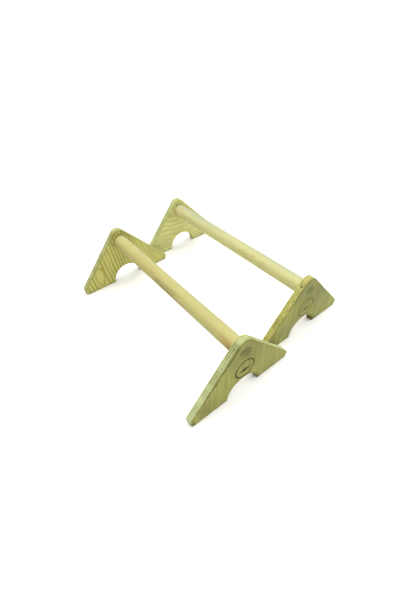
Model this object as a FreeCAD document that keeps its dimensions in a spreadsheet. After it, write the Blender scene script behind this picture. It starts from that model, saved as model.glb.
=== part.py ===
"""A pair of low wooden push-up bars (parallettes), as a parametric document.

Two equal stands lie side by side. Each stand is a round rail glued through two triangular plywood
end plates, flush with their outer faces, and locked at each end by one nail that is driven through
the plate's sloped edge into the rail. The two stands are loose pieces: they are set apart by hand.

Frame: +X along the rails, +Y from the front stand to the rear stand, +Z up, millimetres. The
origin is on the floor, midway between the stands.
"""
import FreeCAD, Part
import math
import os

import Sketcher
from FreeCAD import Placement, Rotation, Vector

SIZES = {
    # the rail
    "rail_diameter": 38,
    "rail_height": 130,        # floor to the rail's axis
    "clear_length": 510,       # between the inner faces of the two plates
    # the end plates
    "plate_thickness": 18,
    "plate_height": 166,
    "base_length": 286,        # over both feet
    "apex_radius": 22,
    "foot_radius": 12,
    "arch_radius": 45,
    "arris_radius": 1.2,       # the sanded rounding of the sawn edges
    "glue_gap": 0.1,           # radial, between the rail and its bore
    # the locking nails
    "nail_diameter": 2.5,
    "nail_length": 30,
    "nail_head_diameter": 4,
    "nail_head_thickness": 1.5,
    "nail_set": 1.5,           # the head is driven this far below the sawn edge
    "nail_gap": 0.05,          # radial, around the nail
    "nail_point_length": 4,
    # how the two stands lie
    "stand_spacing": 236,      # axis to axis
    "stand_stagger": 34,       # the rear stand is shifted this far towards -X
}

doc = FreeCAD.newDocument("ParallettePair")
sheet = doc.addObject("Spreadsheet::Sheet", "Sizes")
for row, (alias, size) in enumerate(SIZES.items(), start=1):
    sheet.set(f"A{row}", alias)
    sheet.set(f"B{row}", str(size))
    sheet.setAlias(f"B{row}", alias)
doc.recompute()

# Outline of a plate: the common outer tangents of two foot circles and one apex circle. These
# strings are the places that several features share.
FOOT_Y = "(Sizes.base_length / 2 - Sizes.foot_radius)"
APEX_Z = "(Sizes.plate_height - Sizes.apex_radius)"
RISE = f"({APEX_Z} - Sizes.foot_radius)"
SLOPE = (
    f"(atan({RISE} / {FOOT_Y})"
    f" + asin((Sizes.apex_radius - Sizes.foot_radius) / sqrt({RISE}^2 + {FOOT_Y}^2)))"
)
# From the rail's axis, square to the sloped edge, out to that edge.
EDGE_DISTANCE = f"(Sizes.apex_radius + ({APEX_Z} - Sizes.rail_height) * cos({SLOPE}))"
HEAD_TOP = f"({EDGE_DISTANCE} - Sizes.nail_set)"
HOLE_OVERRUN = 3.0             # a nail's hole is cut this far past the sloped edge


def evaluated(expression):
    """Number that an expression gives with the sheet's present values."""
    result = sheet.evalExpression(expression)
    return float(getattr(result, "Value", result))


def new_body(label):
    """Empty body with the label that names its file."""
    body = doc.addObject("PartDesign::Body", label)
    body.Label = label
    return body


def origin_plane(body, role):
    """One of a body's own origin planes, such as YZ_Plane."""
    return next(item for item in body.Origin.OriginFeatures if item.Role == role)


def new_sketch(body, name, role="YZ_Plane"):
    """Empty sketch on one of the body's origin planes."""
    sketch = body.newObject("Sketcher::SketchObject", name)
    sketch.AttachmentSupport = (origin_plane(body, role), "")
    sketch.MapMode = "FlatFace"
    return sketch


def bind(sketch, kind, reference, expression):
    """Adds one dimension to a sketch and ties it to an expression."""
    index = sketch.addConstraint(Sketcher.Constraint(kind, *reference, evaluated(expression)))
    sketch.setExpression(f"Constraints[{index}]", expression)


def draw_plate_outline(sketch):
    """Rounded triangle that stands on two feet, with a half-round arch between them."""
    foot_y = evaluated(FOOT_Y)
    apex_z = evaluated(APEX_Z)
    slope = math.radians(evaluated(SLOPE))
    foot_r = evaluated("Sizes.foot_radius")
    apex_r = evaluated("Sizes.apex_radius")
    arch_r = evaluated("Sizes.arch_radius")
    normal = Vector(math.sin(slope), math.cos(slope), 0)
    mirrored = Vector(-normal.x, normal.y, 0)
    across = Vector(0, 0, 1)
    foot_right = Vector(foot_y, foot_r, 0)
    foot_left = Vector(-foot_y, foot_r, 0)
    apex = Vector(0, apex_z, 0)
    up_right = math.pi / 2 - slope
    up_left = math.pi / 2 + slope

    def arc(centre, radius, start, end):
        return Part.ArcOfCircle(Part.Circle(centre, across, radius), start, end)

    sole_r, foot_arc_r, side_r, apex_arc, side_l, foot_arc_l, sole_l, arch = range(8)
    sketch.addGeometry(
        [
            Part.LineSegment(Vector(arch_r, 0, 0), Vector(foot_y, 0, 0)),
            arc(foot_right, foot_r, -math.pi / 2, up_right),
            Part.LineSegment(foot_right + normal * foot_r, apex + normal * apex_r),
            arc(apex, apex_r, up_right, up_left),
            Part.LineSegment(apex + mirrored * apex_r, foot_left + mirrored * foot_r),
            arc(foot_left, foot_r, up_left, 3 * math.pi / 2),
            Part.LineSegment(Vector(-foot_y, 0, 0), Vector(-arch_r, 0, 0)),
            arc(Vector(0, 0, 0), arch_r, 0, math.pi),
        ],
        False,
    )
    start, end, centre = 1, 2, 3
    x_axis, y_axis, origin = -1, -2, (-1, 1)
    for first, second in zip(range(sole_r, sole_l), range(foot_arc_r, arch)):
        sketch.addConstraint(Sketcher.Constraint("Tangent", first, end, second, start))
    sketch.addConstraint(
        [
            Sketcher.Constraint("Coincident", sole_l, end, arch, end),
            Sketcher.Constraint("Coincident", arch, start, sole_r, start),
            Sketcher.Constraint("Coincident", arch, centre, *origin),
            Sketcher.Constraint("PointOnObject", sole_r, start, x_axis),
            Sketcher.Constraint("PointOnObject", sole_r, end, x_axis),
            Sketcher.Constraint("PointOnObject", sole_l, start, x_axis),
            Sketcher.Constraint("PointOnObject", sole_l, end, x_axis),
            Sketcher.Constraint("PointOnObject", apex_arc, centre, y_axis),
            Sketcher.Constraint("Equal", foot_arc_r, foot_arc_l),
        ]
    )
    bind(sketch, "Radius", (foot_arc_r,), "Sizes.foot_radius")
    bind(sketch, "Radius", (apex_arc,), "Sizes.apex_radius")
    bind(sketch, "Radius", (arch,), "Sizes.arch_radius")
    bind(sketch, "DistanceX", (*origin, foot_arc_r, centre), FOOT_Y)
    bind(sketch, "DistanceX", (foot_arc_l, centre, *origin), FOOT_Y)
    bind(sketch, "DistanceY", (*origin, apex_arc, centre), APEX_Z)


def draw_circle(sketch, radius, height):
    """Circle on the sketch's vertical axis, both sizes given as expressions."""
    centre_y = evaluated(height)
    sketch.addGeometry(
        Part.Circle(Vector(0, centre_y, 0), Vector(0, 0, 1), evaluated(radius)), False
    )
    sketch.addConstraint(Sketcher.Constraint("PointOnObject", 0, 3, -2))
    bind(sketch, "DistanceY", (-1, 1, 0, 3), height)
    bind(sketch, "Radius", (0,), radius)


def draw_half_profile(sketch, corners):
    """Closed outline of a turned shape beside the sketch's vertical axis.

    corners are (radius, height) pairs of expressions; the first and last are on the axis.
    """
    points = [Vector(evaluated(r), evaluated(h), 0) for r, h in corners]
    count = len(points)
    for index in range(count):
        sketch.addGeometry(Part.LineSegment(points[index], points[(index + 1) % count]), False)
    for index in range(count):
        sketch.addConstraint(Sketcher.Constraint("Coincident", index, 2, (index + 1) % count, 1))
    for index, (radius, height) in enumerate(corners):
        if radius == "0":
            sketch.addConstraint(Sketcher.Constraint("PointOnObject", index, 1, -2))
        else:
            bind(sketch, "DistanceX", (-1, 1, index, 1), radius)
        bind(sketch, "DistanceY", (-1, 1, index, 1), height)


def checked_volume(feature, grows):
    """Recomputes and makes sure that a feature really added or removed material."""
    before = feature.BaseFeature.Shape.Volume
    doc.recompute()
    after = feature.Shape.Volume
    if (after > before) != grows or math.isclose(after, before):
        raise RuntimeError(f"{feature.Label} changed nothing: {before:.1f} to {after:.1f} mm3")


def cut_nail_hole(body, name, along_rail, turned=False):
    """Stepped hole for a nail: it starts in the rail and opens through the sloped edge.

    along_rail is the place of the hole's axis along X. turned puts the hole on the +Y slope.
    """
    sketch = new_sketch(body, f"{name}_sketch")
    sketch.setExpression(".AttachmentOffset.Base.y", "Sizes.rail_height")
    sketch.setExpression(".AttachmentOffset.Base.z", along_rail)
    tilt_axis = Vector(0, 0, -1 if turned else 1)
    sketch.AttachmentOffset = Placement(Vector(0, 0, 0), Rotation(tilt_axis, evaluated(SLOPE)))
    sketch.setExpression(".AttachmentOffset.Rotation.Angle", SLOPE)
    shank = "Sizes.nail_diameter / 2 + Sizes.nail_gap"
    head = "Sizes.nail_head_diameter / 2 + Sizes.nail_gap"
    seat = f"({HEAD_TOP} - Sizes.nail_head_thickness - Sizes.nail_gap)"
    bottom = f"({HEAD_TOP} - Sizes.nail_length - Sizes.nail_gap)"
    mouth = f"({EDGE_DISTANCE} + {HOLE_OVERRUN})"
    draw_half_profile(
        sketch,
        [("0", bottom), (shank, bottom), (shank, seat), (head, seat), (head, mouth), ("0", mouth)],
    )
    groove = body.newObject("PartDesign::Groove", name)
    groove.Profile = sketch
    groove.ReferenceAxis = (sketch, ["V_Axis"])
    groove.Angle = 360
    doc.recompute()
    checked_volume(groove, grows=False)


def face_edges(shape, thickness):
    """Names of the edges that lie in either flat face of a padded outline."""
    names = []
    for number, edge in enumerate(shape.Edges, start=1):
        depths = [vertex.Point.x for vertex in edge.Vertexes]
        if any(all(abs(d - face) < 1e-6 for d in depths) for face in (0, thickness)):
            names.append(f"Edge{number}")
    return names


def build_plate(label):
    """End plate, inner face on its YZ plane and outer face towards its +X."""
    body = new_body(label)
    outline = new_sketch(body, f"{label}_outline")
    draw_plate_outline(outline)
    pad = body.newObject("PartDesign::Pad", f"{label}_panel")
    pad.Profile = outline
    pad.setExpression("Length", "Sizes.plate_thickness")
    doc.recompute()

    arris = body.newObject("PartDesign::Fillet", f"{label}_arris")
    arris.Base = (pad, face_edges(pad.Shape, evaluated("Sizes.plate_thickness")))
    arris.setExpression("Radius", "Sizes.arris_radius")
    doc.recompute()
    checked_volume(arris, grows=False)

    bore_sketch = new_sketch(body, f"{label}_bore_sketch")
    draw_circle(bore_sketch, "Sizes.rail_diameter / 2 + Sizes.glue_gap", "Sizes.rail_height")
    bore = body.newObject("PartDesign::Pocket", f"{label}_bore")
    bore.Profile = bore_sketch
    bore.Type = "ThroughAll"
    bore.Midplane = True
    doc.recompute()
    checked_volume(bore, grows=False)

    cut_nail_hole(body, f"{label}_nail_hole", "Sizes.plate_thickness / 2")
    return body


def build_rail(label):
    """Round rail along X, centred on the stand, with a nail hole near each end."""
    body = new_body(label)
    section = new_sketch(body, f"{label}_section")
    draw_circle(section, "Sizes.rail_diameter / 2", "Sizes.rail_height")
    pad = body.newObject("PartDesign::Pad", f"{label}_bar")
    pad.Profile = section
    pad.setExpression("Length", "Sizes.clear_length + 2 * Sizes.plate_thickness")
    pad.Midplane = True
    doc.recompute()
    nail_place = "(Sizes.clear_length + Sizes.plate_thickness) / 2"
    cut_nail_hole(body, f"{label}_right_hole", nail_place)
    cut_nail_hole(body, f"{label}_left_hole", f"-{nail_place}", turned=True)
    return body


def build_nail(label):
    """Lost-head nail along its own Z axis; z is the distance from the rail's axis."""
    body = new_body(label)
    sketch = new_sketch(body, f"{label}_profile", "XZ_Plane")
    shank = "Sizes.nail_diameter / 2"
    head = "Sizes.nail_head_diameter / 2"
    tip = f"({HEAD_TOP} - Sizes.nail_length)"
    point = f"({tip} + Sizes.nail_point_length)"
    seat = f"({HEAD_TOP} - Sizes.nail_head_thickness)"
    draw_half_profile(
        sketch,
        [("0", tip), (shank, point), (shank, seat), (head, seat), (head, HEAD_TOP), ("0", HEAD_TOP)],
    )
    turned = body.newObject("PartDesign::Revolution", f"{label}_turning")
    turned.Profile = sketch
    turned.ReferenceAxis = (sketch, ["V_Axis"])
    turned.Angle = 360
    doc.recompute()
    return body


def place(body, along, across, turned):
    """Puts a piece at its stand; a turned piece faces the other way along the rail."""
    body.Placement = Placement(Vector(0, 0, 0), Rotation(Vector(0, 0, 1), 180 if turned else 0))
    body.setExpression(".Placement.Base.x", along)
    body.setExpression(".Placement.Base.y", across)


def place_nail(body, along, across, turned):
    """Tips a nail so that it stands square to the sloped edge, and puts it at the rail's axis."""
    tilt_axis = Vector(-1 if turned else 1, 0, 0)
    body.Placement = Placement(Vector(0, 0, 0), Rotation(tilt_axis, evaluated(SLOPE)))
    body.setExpression(".Placement.Rotation.Angle", SLOPE)
    body.setExpression(".Placement.Base.x", along)
    body.setExpression(".Placement.Base.y", across)
    body.setExpression(".Placement.Base.z", "Sizes.rail_height")


def build_stand(name, side):
    """All pieces of one stand. side is -1 for the front stand and 1 for the rear one."""
    shift = f"{-side} * Sizes.stand_stagger / 2"
    across = f"{side} * Sizes.stand_spacing / 2"
    half_clear = "Sizes.clear_length / 2"
    nail_place = "(Sizes.clear_length + Sizes.plate_thickness) / 2"
    rail = build_rail(f"{name}_rail")
    place(rail, shift, across, False)
    pieces = [rail]
    for end, direction in (("right", 1), ("left", -1)):
        plate = build_plate(f"{name}_{end}_plate")
        place(plate, f"{shift} + {direction} * {half_clear}", across, direction < 0)
        nail = build_nail(f"{name}_{end}_nail")
        place_nail(nail, f"{shift} + {direction} * {nail_place}", across, direction < 0)
        pieces += [plate, nail]
    return pieces


pieces = build_stand("front", -1) + build_stand("rear", 1)
doc.recompute()

for item in doc.Objects:
    if "Invalid" in item.State or "Error" in item.State:
        raise RuntimeError(f"{item.Label} failed to build: {item.State}")
for piece in pieces:
    if piece.Shape.isNull() or not piece.Shape.isValid() or len(piece.Shape.Solids) != 1:
        raise RuntimeError(f"{piece.Label} is not one valid solid")

os.makedirs("parts", exist_ok=True)
for piece in pieces:
    piece.Shape.exportStep(f"parts/{piece.Label}.step")
    box = piece.Shape.optimalBoundingBox(False, False)
    print(
        f"{piece.Label}: {piece.Shape.Volume:.0f} mm3,"
        f" X {box.XMin:.1f} to {box.XMax:.1f},"
        f" Y {box.YMin:.1f} to {box.YMax:.1f},"
        f" Z {box.ZMin:.1f} to {box.ZMax:.1f}"
    )
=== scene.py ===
"""Looks of a pair of low wooden push-up bars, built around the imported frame.

Each stand is a pine rail glued through two plywood end plates and locked by a nail at each end.
Plates and rails are made here as grids of points: a section carried round the plate's outline, and
a circle carried along the rail. Lengths inside the shape classes are millimetres, in the plate's
own plane (across, up) or along and round the rail, and become metres when a mesh is made.
"""

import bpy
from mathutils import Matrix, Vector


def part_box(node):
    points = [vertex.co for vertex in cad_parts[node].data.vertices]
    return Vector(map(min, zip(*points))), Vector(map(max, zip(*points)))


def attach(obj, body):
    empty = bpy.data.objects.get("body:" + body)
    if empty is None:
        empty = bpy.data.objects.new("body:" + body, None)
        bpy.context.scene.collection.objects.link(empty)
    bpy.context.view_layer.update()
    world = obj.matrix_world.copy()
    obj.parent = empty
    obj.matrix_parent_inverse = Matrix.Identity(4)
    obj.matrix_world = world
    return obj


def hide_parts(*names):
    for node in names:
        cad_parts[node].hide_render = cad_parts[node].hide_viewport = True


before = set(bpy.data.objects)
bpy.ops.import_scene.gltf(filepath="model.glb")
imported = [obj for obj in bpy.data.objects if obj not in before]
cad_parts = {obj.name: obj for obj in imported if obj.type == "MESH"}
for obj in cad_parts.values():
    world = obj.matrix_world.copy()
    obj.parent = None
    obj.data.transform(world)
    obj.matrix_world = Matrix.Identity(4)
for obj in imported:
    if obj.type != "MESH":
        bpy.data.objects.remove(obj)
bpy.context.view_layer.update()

import logging
import math
from dataclasses import dataclass, field, replace
from enum import Enum

import bpy
import numpy as np
from mathutils import Matrix, Vector

LOG = logging.getLogger("parallettes")
MM = 0.001
FULL_TURN = 2 * math.pi

Colour = tuple[float, float, float]
# Dark brown of dirt, used also as painted shade: the sole's contact shadow, the arch's corners and
# the rail's joint.
SOIL_AND_SHADE: Colour = (0.07, 0.064, 0.016)
SCORCH: Colour = (0.04, 0.034, 0.002)
GRIME: Colour = (0.2, 0.17, 0.06)
# Near black painted into the core gaps and the nail's hole: painted shade in the hollows.
HOLLOW_SHADE: Colour = (0.04, 0.035, 0.014)
# Ranges that nearly all of a noise texture's values lie in, closely and with room to spare.
NOISE_BODY = (0.3, 0.7)
NOISE_SPAN = (0.25, 0.75)


class Facing(Enum):
    """Which way a plate's outer face looks along the rail."""

    RIGHT = 1
    LEFT = -1


class PlatePart(Enum):
    """Material slots of a plate's mesh."""

    OUTER_FACE = 0
    EDGE = 1
    INNER_FACE = 2


class RailPart(Enum):
    """Material slots of a rail's mesh."""

    SIDE = 0
    END = 1


# ---------------------------------------------------------------------------------------------
# Small numpy helpers
# ---------------------------------------------------------------------------------------------


def smooth_step(low: float, high: float, value: np.ndarray) -> np.ndarray:
    """Rises smoothly from 0 at low to 1 at high: 3t^2 - 2t^3 of the share t of the way.

    Args:
        low: Value at which the result is still 0. It may be above high, for a falling step.
        high: Value from which the result is 1.
        value: Any array of values.

    Returns:
        Array of the same shape, from 0 to 1.
    """
    share = np.clip((value - low) / (high - low), 0.0, 1.0)
    return share * share * (3.0 - 2.0 * share)


def wander(length: np.ndarray, period: float, waves: int, seed: int) -> np.ndarray:
    """Smooth random curve that closes on itself: a sum of sines whole numbers of times per period.

    Args:
        length: Positions along a closed path.
        period: Length of the whole path.
        waves: Highest number of waves round the path.
        seed: Starts the random amplitudes and phases, so each call repeats exactly.

    Returns:
        Values around 0 with a spread of about 1.
    """
    draw = np.random.default_rng(seed)
    counts = np.arange(1, waves + 1)
    strength = draw.normal(size=waves) / np.sqrt(counts)
    phase = draw.uniform(0.0, FULL_TURN, waves)
    angles = FULL_TURN * np.outer(length / period, counts) + phase
    return np.sin(angles) @ strength / np.sqrt((strength**2).sum() / 2.0)


def spread_samples(period: float, count: int, density: np.ndarray) -> np.ndarray:
    """Places along a closed path, closer together where the density is higher.

    The density is summed up along the path, and equal shares of that sum are read back as places.

    Args:
        period: Length of the path.
        count: How many places.
        density: Density at equally spaced points from 0 to the period.

    Returns:
        Rising array of count places, starting at 0.
    """
    where = np.linspace(0.0, period, len(density))
    total = np.concatenate([[0.0], np.cumsum((density[1:] + density[:-1]) / 2.0)])
    shares = np.arange(count) / count * total[-1]
    return np.interp(shares, total, where)


# ---------------------------------------------------------------------------------------------
# Meshes
# ---------------------------------------------------------------------------------------------


@dataclass
class GridSurface:
    """Closed surface given as rows of points, each row a closed loop.

    Fields:
        points: Array rows x columns x 3, in metres, in the row frame.
        row_slots: Material slot of the faces between a row and the next one.
        rows_close: True if the last row joins the first, as on a ring.
        flip: True if the faces as laid point inwards.
        attributes: Named values per point, each an array rows x columns.
    """

    points: np.ndarray
    row_slots: np.ndarray
    rows_close: bool
    flip: bool = False
    attributes: dict[str, np.ndarray] = field(default_factory=dict)

    def faces(self) -> tuple[list[list[int]], np.ndarray]:
        """Quads between neighbouring rows and columns, and a fan to a pole at each open end.

        Returns:
            Faces as lists of vertex numbers, and the material slot of each.
        """
        rows, columns = self.points.shape[:2]
        number = np.arange(rows * columns).reshape(rows, columns)
        if self.rows_close:
            number = np.vstack([number, number[:1]])
        here, above = number[:-1], number[1:]
        quads = np.stack(
            [here, np.roll(here, -1, 1), np.roll(above, -1, 1), above], axis=-1
        ).reshape(-1, 4)
        slots = np.repeat(self.row_slots[: len(here)], columns)
        faces = (quads[:, ::-1] if self.flip else quads).tolist()
        if not self.rows_close:
            for pole, row, reverse in (
                (rows * columns, number[0], True),
                (rows * columns + 1, number[-1], False),
            ):
                fan = np.stack([np.full(columns, pole), row, np.roll(row, -1)], axis=-1)
                fan = fan[:, ::-1] if reverse != self.flip else fan
                faces += fan.tolist()
            ends = np.repeat([self.row_slots[0], self.row_slots[-1]], columns)
            slots = np.concatenate([slots, ends])
        return faces, slots

    def build(self, name: str, materials: list[bpy.types.Material]) -> bpy.types.Object:
        """Makes the mesh object at the origin, smooth shaded.

        Args:
            name: Piece name.
            materials: Materials in slot order.

        Returns:
            The new object.
        """
        ends = [] if self.rows_close else [0, -1]
        flat = np.vstack([self.points.reshape(-1, 3), *(self.points[end].mean(0) for end in ends)])
        values = {
            key: np.concatenate([value.reshape(-1), [value[end].mean() for end in ends]])
            for key, value in self.attributes.items()
        }
        faces, slots = self.faces()
        mesh = bpy.data.meshes.new(name)
        mesh.from_pydata(flat.tolist(), [], faces)
        mesh.polygons.foreach_set("material_index", slots.astype(np.int32))
        mesh.polygons.foreach_set("use_smooth", np.ones(len(slots), bool))
        for key, value in values.items():
            layer = mesh.attributes.new(key, "FLOAT", "POINT")
            layer.data.foreach_set("value", value.astype(np.float32))
        mesh.validate()
        mesh.update()
        for material in materials:
            mesh.materials.append(material)
        piece = bpy.data.objects.new(name, mesh)
        bpy.context.scene.collection.objects.link(piece)
        return piece


# ---------------------------------------------------------------------------------------------
# Shader nodes
# ---------------------------------------------------------------------------------------------


class Value:
    """A node's output. Arithmetic on it adds Math nodes to its tree."""

    def __init__(self, nodes: "Nodes", socket: bpy.types.NodeSocket) -> None:
        """Keeps the output and the tree that it is in."""
        self.nodes = nodes
        self.socket = socket

    def __add__(self, other: "Term") -> "Value":
        """This value and another, added."""
        return self.nodes.math("ADD", self, other)

    def __sub__(self, other: "Term") -> "Value":
        """This value less another."""
        return self.nodes.math("SUBTRACT", self, other)

    def __rsub__(self, other: float) -> "Value":
        """A number less this value."""
        return self.nodes.math("SUBTRACT", other, self)

    def __mul__(self, other: "Term") -> "Value":
        """This value times another."""
        return self.nodes.math("MULTIPLY", self, other)

    def __truediv__(self, other: "Term") -> "Value":
        """This value over another."""
        return self.nodes.math("DIVIDE", self, other)


Term = Value | float
Paint = Value | Colour


class Nodes:
    """Adds and joins shader nodes in one tree with short calls."""

    def __init__(self, tree: bpy.types.NodeTree) -> None:
        """Works on this tree."""
        self.tree = tree

    def add(self, kind: str, *values: object, **settings: object) -> bpy.types.Node:
        """Adds a node, sets its properties and feeds its first inputs.

        Args:
            kind: Node type without its ShaderNode prefix.
            *values: Values, numbers or vectors for the inputs, in their order.
            **settings: Properties of the node.

        Returns:
            The new node.
        """
        node = self.tree.nodes.new(f"ShaderNode{kind}")
        for key, setting in settings.items():
            setattr(node, key, setting)
        for socket, value in zip(node.inputs, values):
            self.feed(socket, value)
        return node

    def feed(self, socket: bpy.types.NodeSocket, value: object) -> None:
        """Links a value to an input socket, or sets the input's own number or vector.

        Args:
            socket: The input.
            value: A Value, a number or a vector.
        """
        if isinstance(value, Value):
            self.tree.links.new(value.socket, socket)
        else:
            socket.default_value = value

    def math(self, operation: str, *values: Term) -> Value:
        """One Math node on up to three values or numbers."""
        return Value(self, self.add("Math", *values, operation=operation).outputs[0])

    def combine(self, x: Term, y: Term, z: Term = 0.0) -> Value:
        """Vector from three values or numbers."""
        return Value(self, self.add("CombineXYZ", x, y, z).outputs[0])

    def split(self, vector: Value) -> tuple[Value, ...]:
        """The three parts of a vector."""
        return tuple(Value(self, part) for part in self.add("SeparateXYZ", vector).outputs)

    def scale(self, vector: Paint, factor: Term) -> Value:
        """A vector or a colour, times a number.

        Args:
            vector: The vector or colour.
            factor: What it is multiplied by.

        Returns:
            The product.
        """
        node = self.add("VectorMath", vector, operation="SCALE")
        self.feed(node.inputs["Scale"], factor)
        return Value(self, node.outputs[0])

    def noise(
        self, vector: Value, scale: float = 1.0, detail: float = 2.0, roughness: float = 0.5
    ) -> Value:
        """Value of a 3-D noise texture, about 0 to 1.

        Args:
            vector: Where it is read.
            scale: Cycles per unit of the vector.
            detail: Number of finer layers added.
            roughness: Strength of each finer layer over the last.

        Returns:
            The noise.
        """
        node = self.add("TexNoise", vector, noise_dimensions="3D")
        node.inputs["Scale"].default_value = scale
        node.inputs["Detail"].default_value = detail
        node.inputs["Roughness"].default_value = roughness
        return Value(self, node.outputs["Fac"])

    def step(
        self, value: Value, low: float, high: float, to_low: float = 0.0, to_high: Term = 1.0
    ) -> Value:
        """Smooth step of a value.

        Args:
            value: The value.
            low: Where the step starts. It may be above high.
            high: Where it ends.
            to_low: Result at low.
            to_high: Result at high.

        Returns:
            The mapped value.
        """
        node = self.add("MapRange", value, low, high, to_low, to_high,
                        interpolation_type="SMOOTHSTEP")
        return Value(self, node.outputs[0])

    def mix(self, share: Term, first: Paint, second: Paint) -> Value:
        """Mix of two colours.

        Args:
            share: Share of the second one, from 0 to 1.
            first: First colour.
            second: Second colour.

        Returns:
            The mixed colour.
        """
        node = self.add("Mix", data_type="RGBA", clamp_factor=True)
        sockets = {item.identifier: item for item in node.inputs}
        for name, value in (("Factor_Float", share), ("A_Color", first), ("B_Color", second)):
            self.feed(sockets[name], (*value, 1.0) if isinstance(value, tuple) else value)
        result = next(item for item in node.outputs if item.identifier == "Result_Color")
        return Value(self, result)

    def attribute(self, name: str) -> Value:
        """A value that the mesh carries at its points."""
        return Value(self, self.add("Attribute", attribute_name=name).outputs["Fac"])

    def source(self, kind: str, output: str) -> Value:
        """An output of a new node that needs no input."""
        return Value(self, self.add(kind).outputs[output])

    def place(self) -> Value:
        """Place on the piece in millimetres, in the row frame."""
        return self.scale(self.source("TexCoord", "Object"), 1 / MM)

    def use(self, group: bpy.types.NodeTree, **values: Term) -> dict[str, Value]:
        """Places a node group and feeds its inputs.

        Args:
            group: The group.
            **values: Its inputs, named with _ for spaces.

        Returns:
            The group's outputs by name.
        """
        node = self.add("Group", node_tree=group)
        for key, value in values.items():
            self.feed(node.inputs[key.replace("_", " ")], value)
        return {output.name: Value(self, output) for output in node.outputs}


class GroupNodes(Nodes):
    """The nodes of one new group, with its inputs by name in given."""

    def __init__(self, name: str, inputs: dict[str, object], outputs: list[str]) -> None:
        """Makes the group with its sockets.

        Args:
            name: Group name.
            inputs: Default of each input by name, a number or a vector.
            outputs: Names of the outputs, all numbers.
        """
        super().__init__(bpy.data.node_groups.new(name, "ShaderNodeTree"))
        sockets = self.tree.interface
        for key, default in inputs.items():
            kind = "NodeSocketVector" if isinstance(default, tuple) else "NodeSocketFloat"
            socket = sockets.new_socket(name=key, in_out="INPUT", socket_type=kind)
            socket.default_value = default
        for key in outputs:
            sockets.new_socket(name=key, in_out="OUTPUT", socket_type="NodeSocketFloat")
        entry = self.tree.nodes.new("NodeGroupInput")
        self.given = {item.name: Value(self, item) for item in entry.outputs}
        self.leave = self.tree.nodes.new("NodeGroupOutput")

    def put_out(self, **values: Value) -> bpy.types.NodeTree:
        """Feeds the outputs by name, and gives the finished group.

        Args:
            **values: Value of each output.

        Returns:
            The group.
        """
        for key, value in values.items():
            self.feed(self.leave.inputs[key], value)
        return self.tree


class MaterialNodes(Nodes):
    """The nodes of one new material."""

    def __init__(self, name: str) -> None:
        """Makes the material with an empty tree.

        Args:
            name: Material name.
        """
        self.material = bpy.data.materials.new(name)
        self.material.use_nodes = True
        super().__init__(self.material.node_tree)
        self.tree.nodes.clear()

    def finish(
        self,
        colour: Value,
        roughness: Term,
        height: Value | None = None,
        depth: float = 0.0,
        shine: float = 0.2,
        metallic: Term = 0.0,
    ) -> bpy.types.Material:
        """Ends the material with its Principled shader.

        Args:
            colour: Base Color.
            roughness: Roughness.
            height: Height of the bump, from 0 to 1, or None.
            depth: Depth of the bump in metres.
            shine: Specular level.
            metallic: Metallic.

        Returns:
            The material.
        """
        shader = self.add("BsdfPrincipled")
        for key, value in (
            ("Base Color", colour),
            ("Roughness", roughness),
            ("Specular IOR Level", shine),
            ("Metallic", metallic),
        ):
            self.feed(shader.inputs[key], value)
        if height is not None:
            bump = self.add("Bump")
            bump.inputs["Distance"].default_value = depth
            bump.inputs["Strength"].default_value = 1.0
            self.feed(bump.inputs["Height"], height)
            self.tree.links.new(bump.outputs[0], shader.inputs["Normal"])
        output = self.add("OutputMaterial")
        self.tree.links.new(shader.outputs[0], output.inputs["Surface"])
        return self.material


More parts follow.
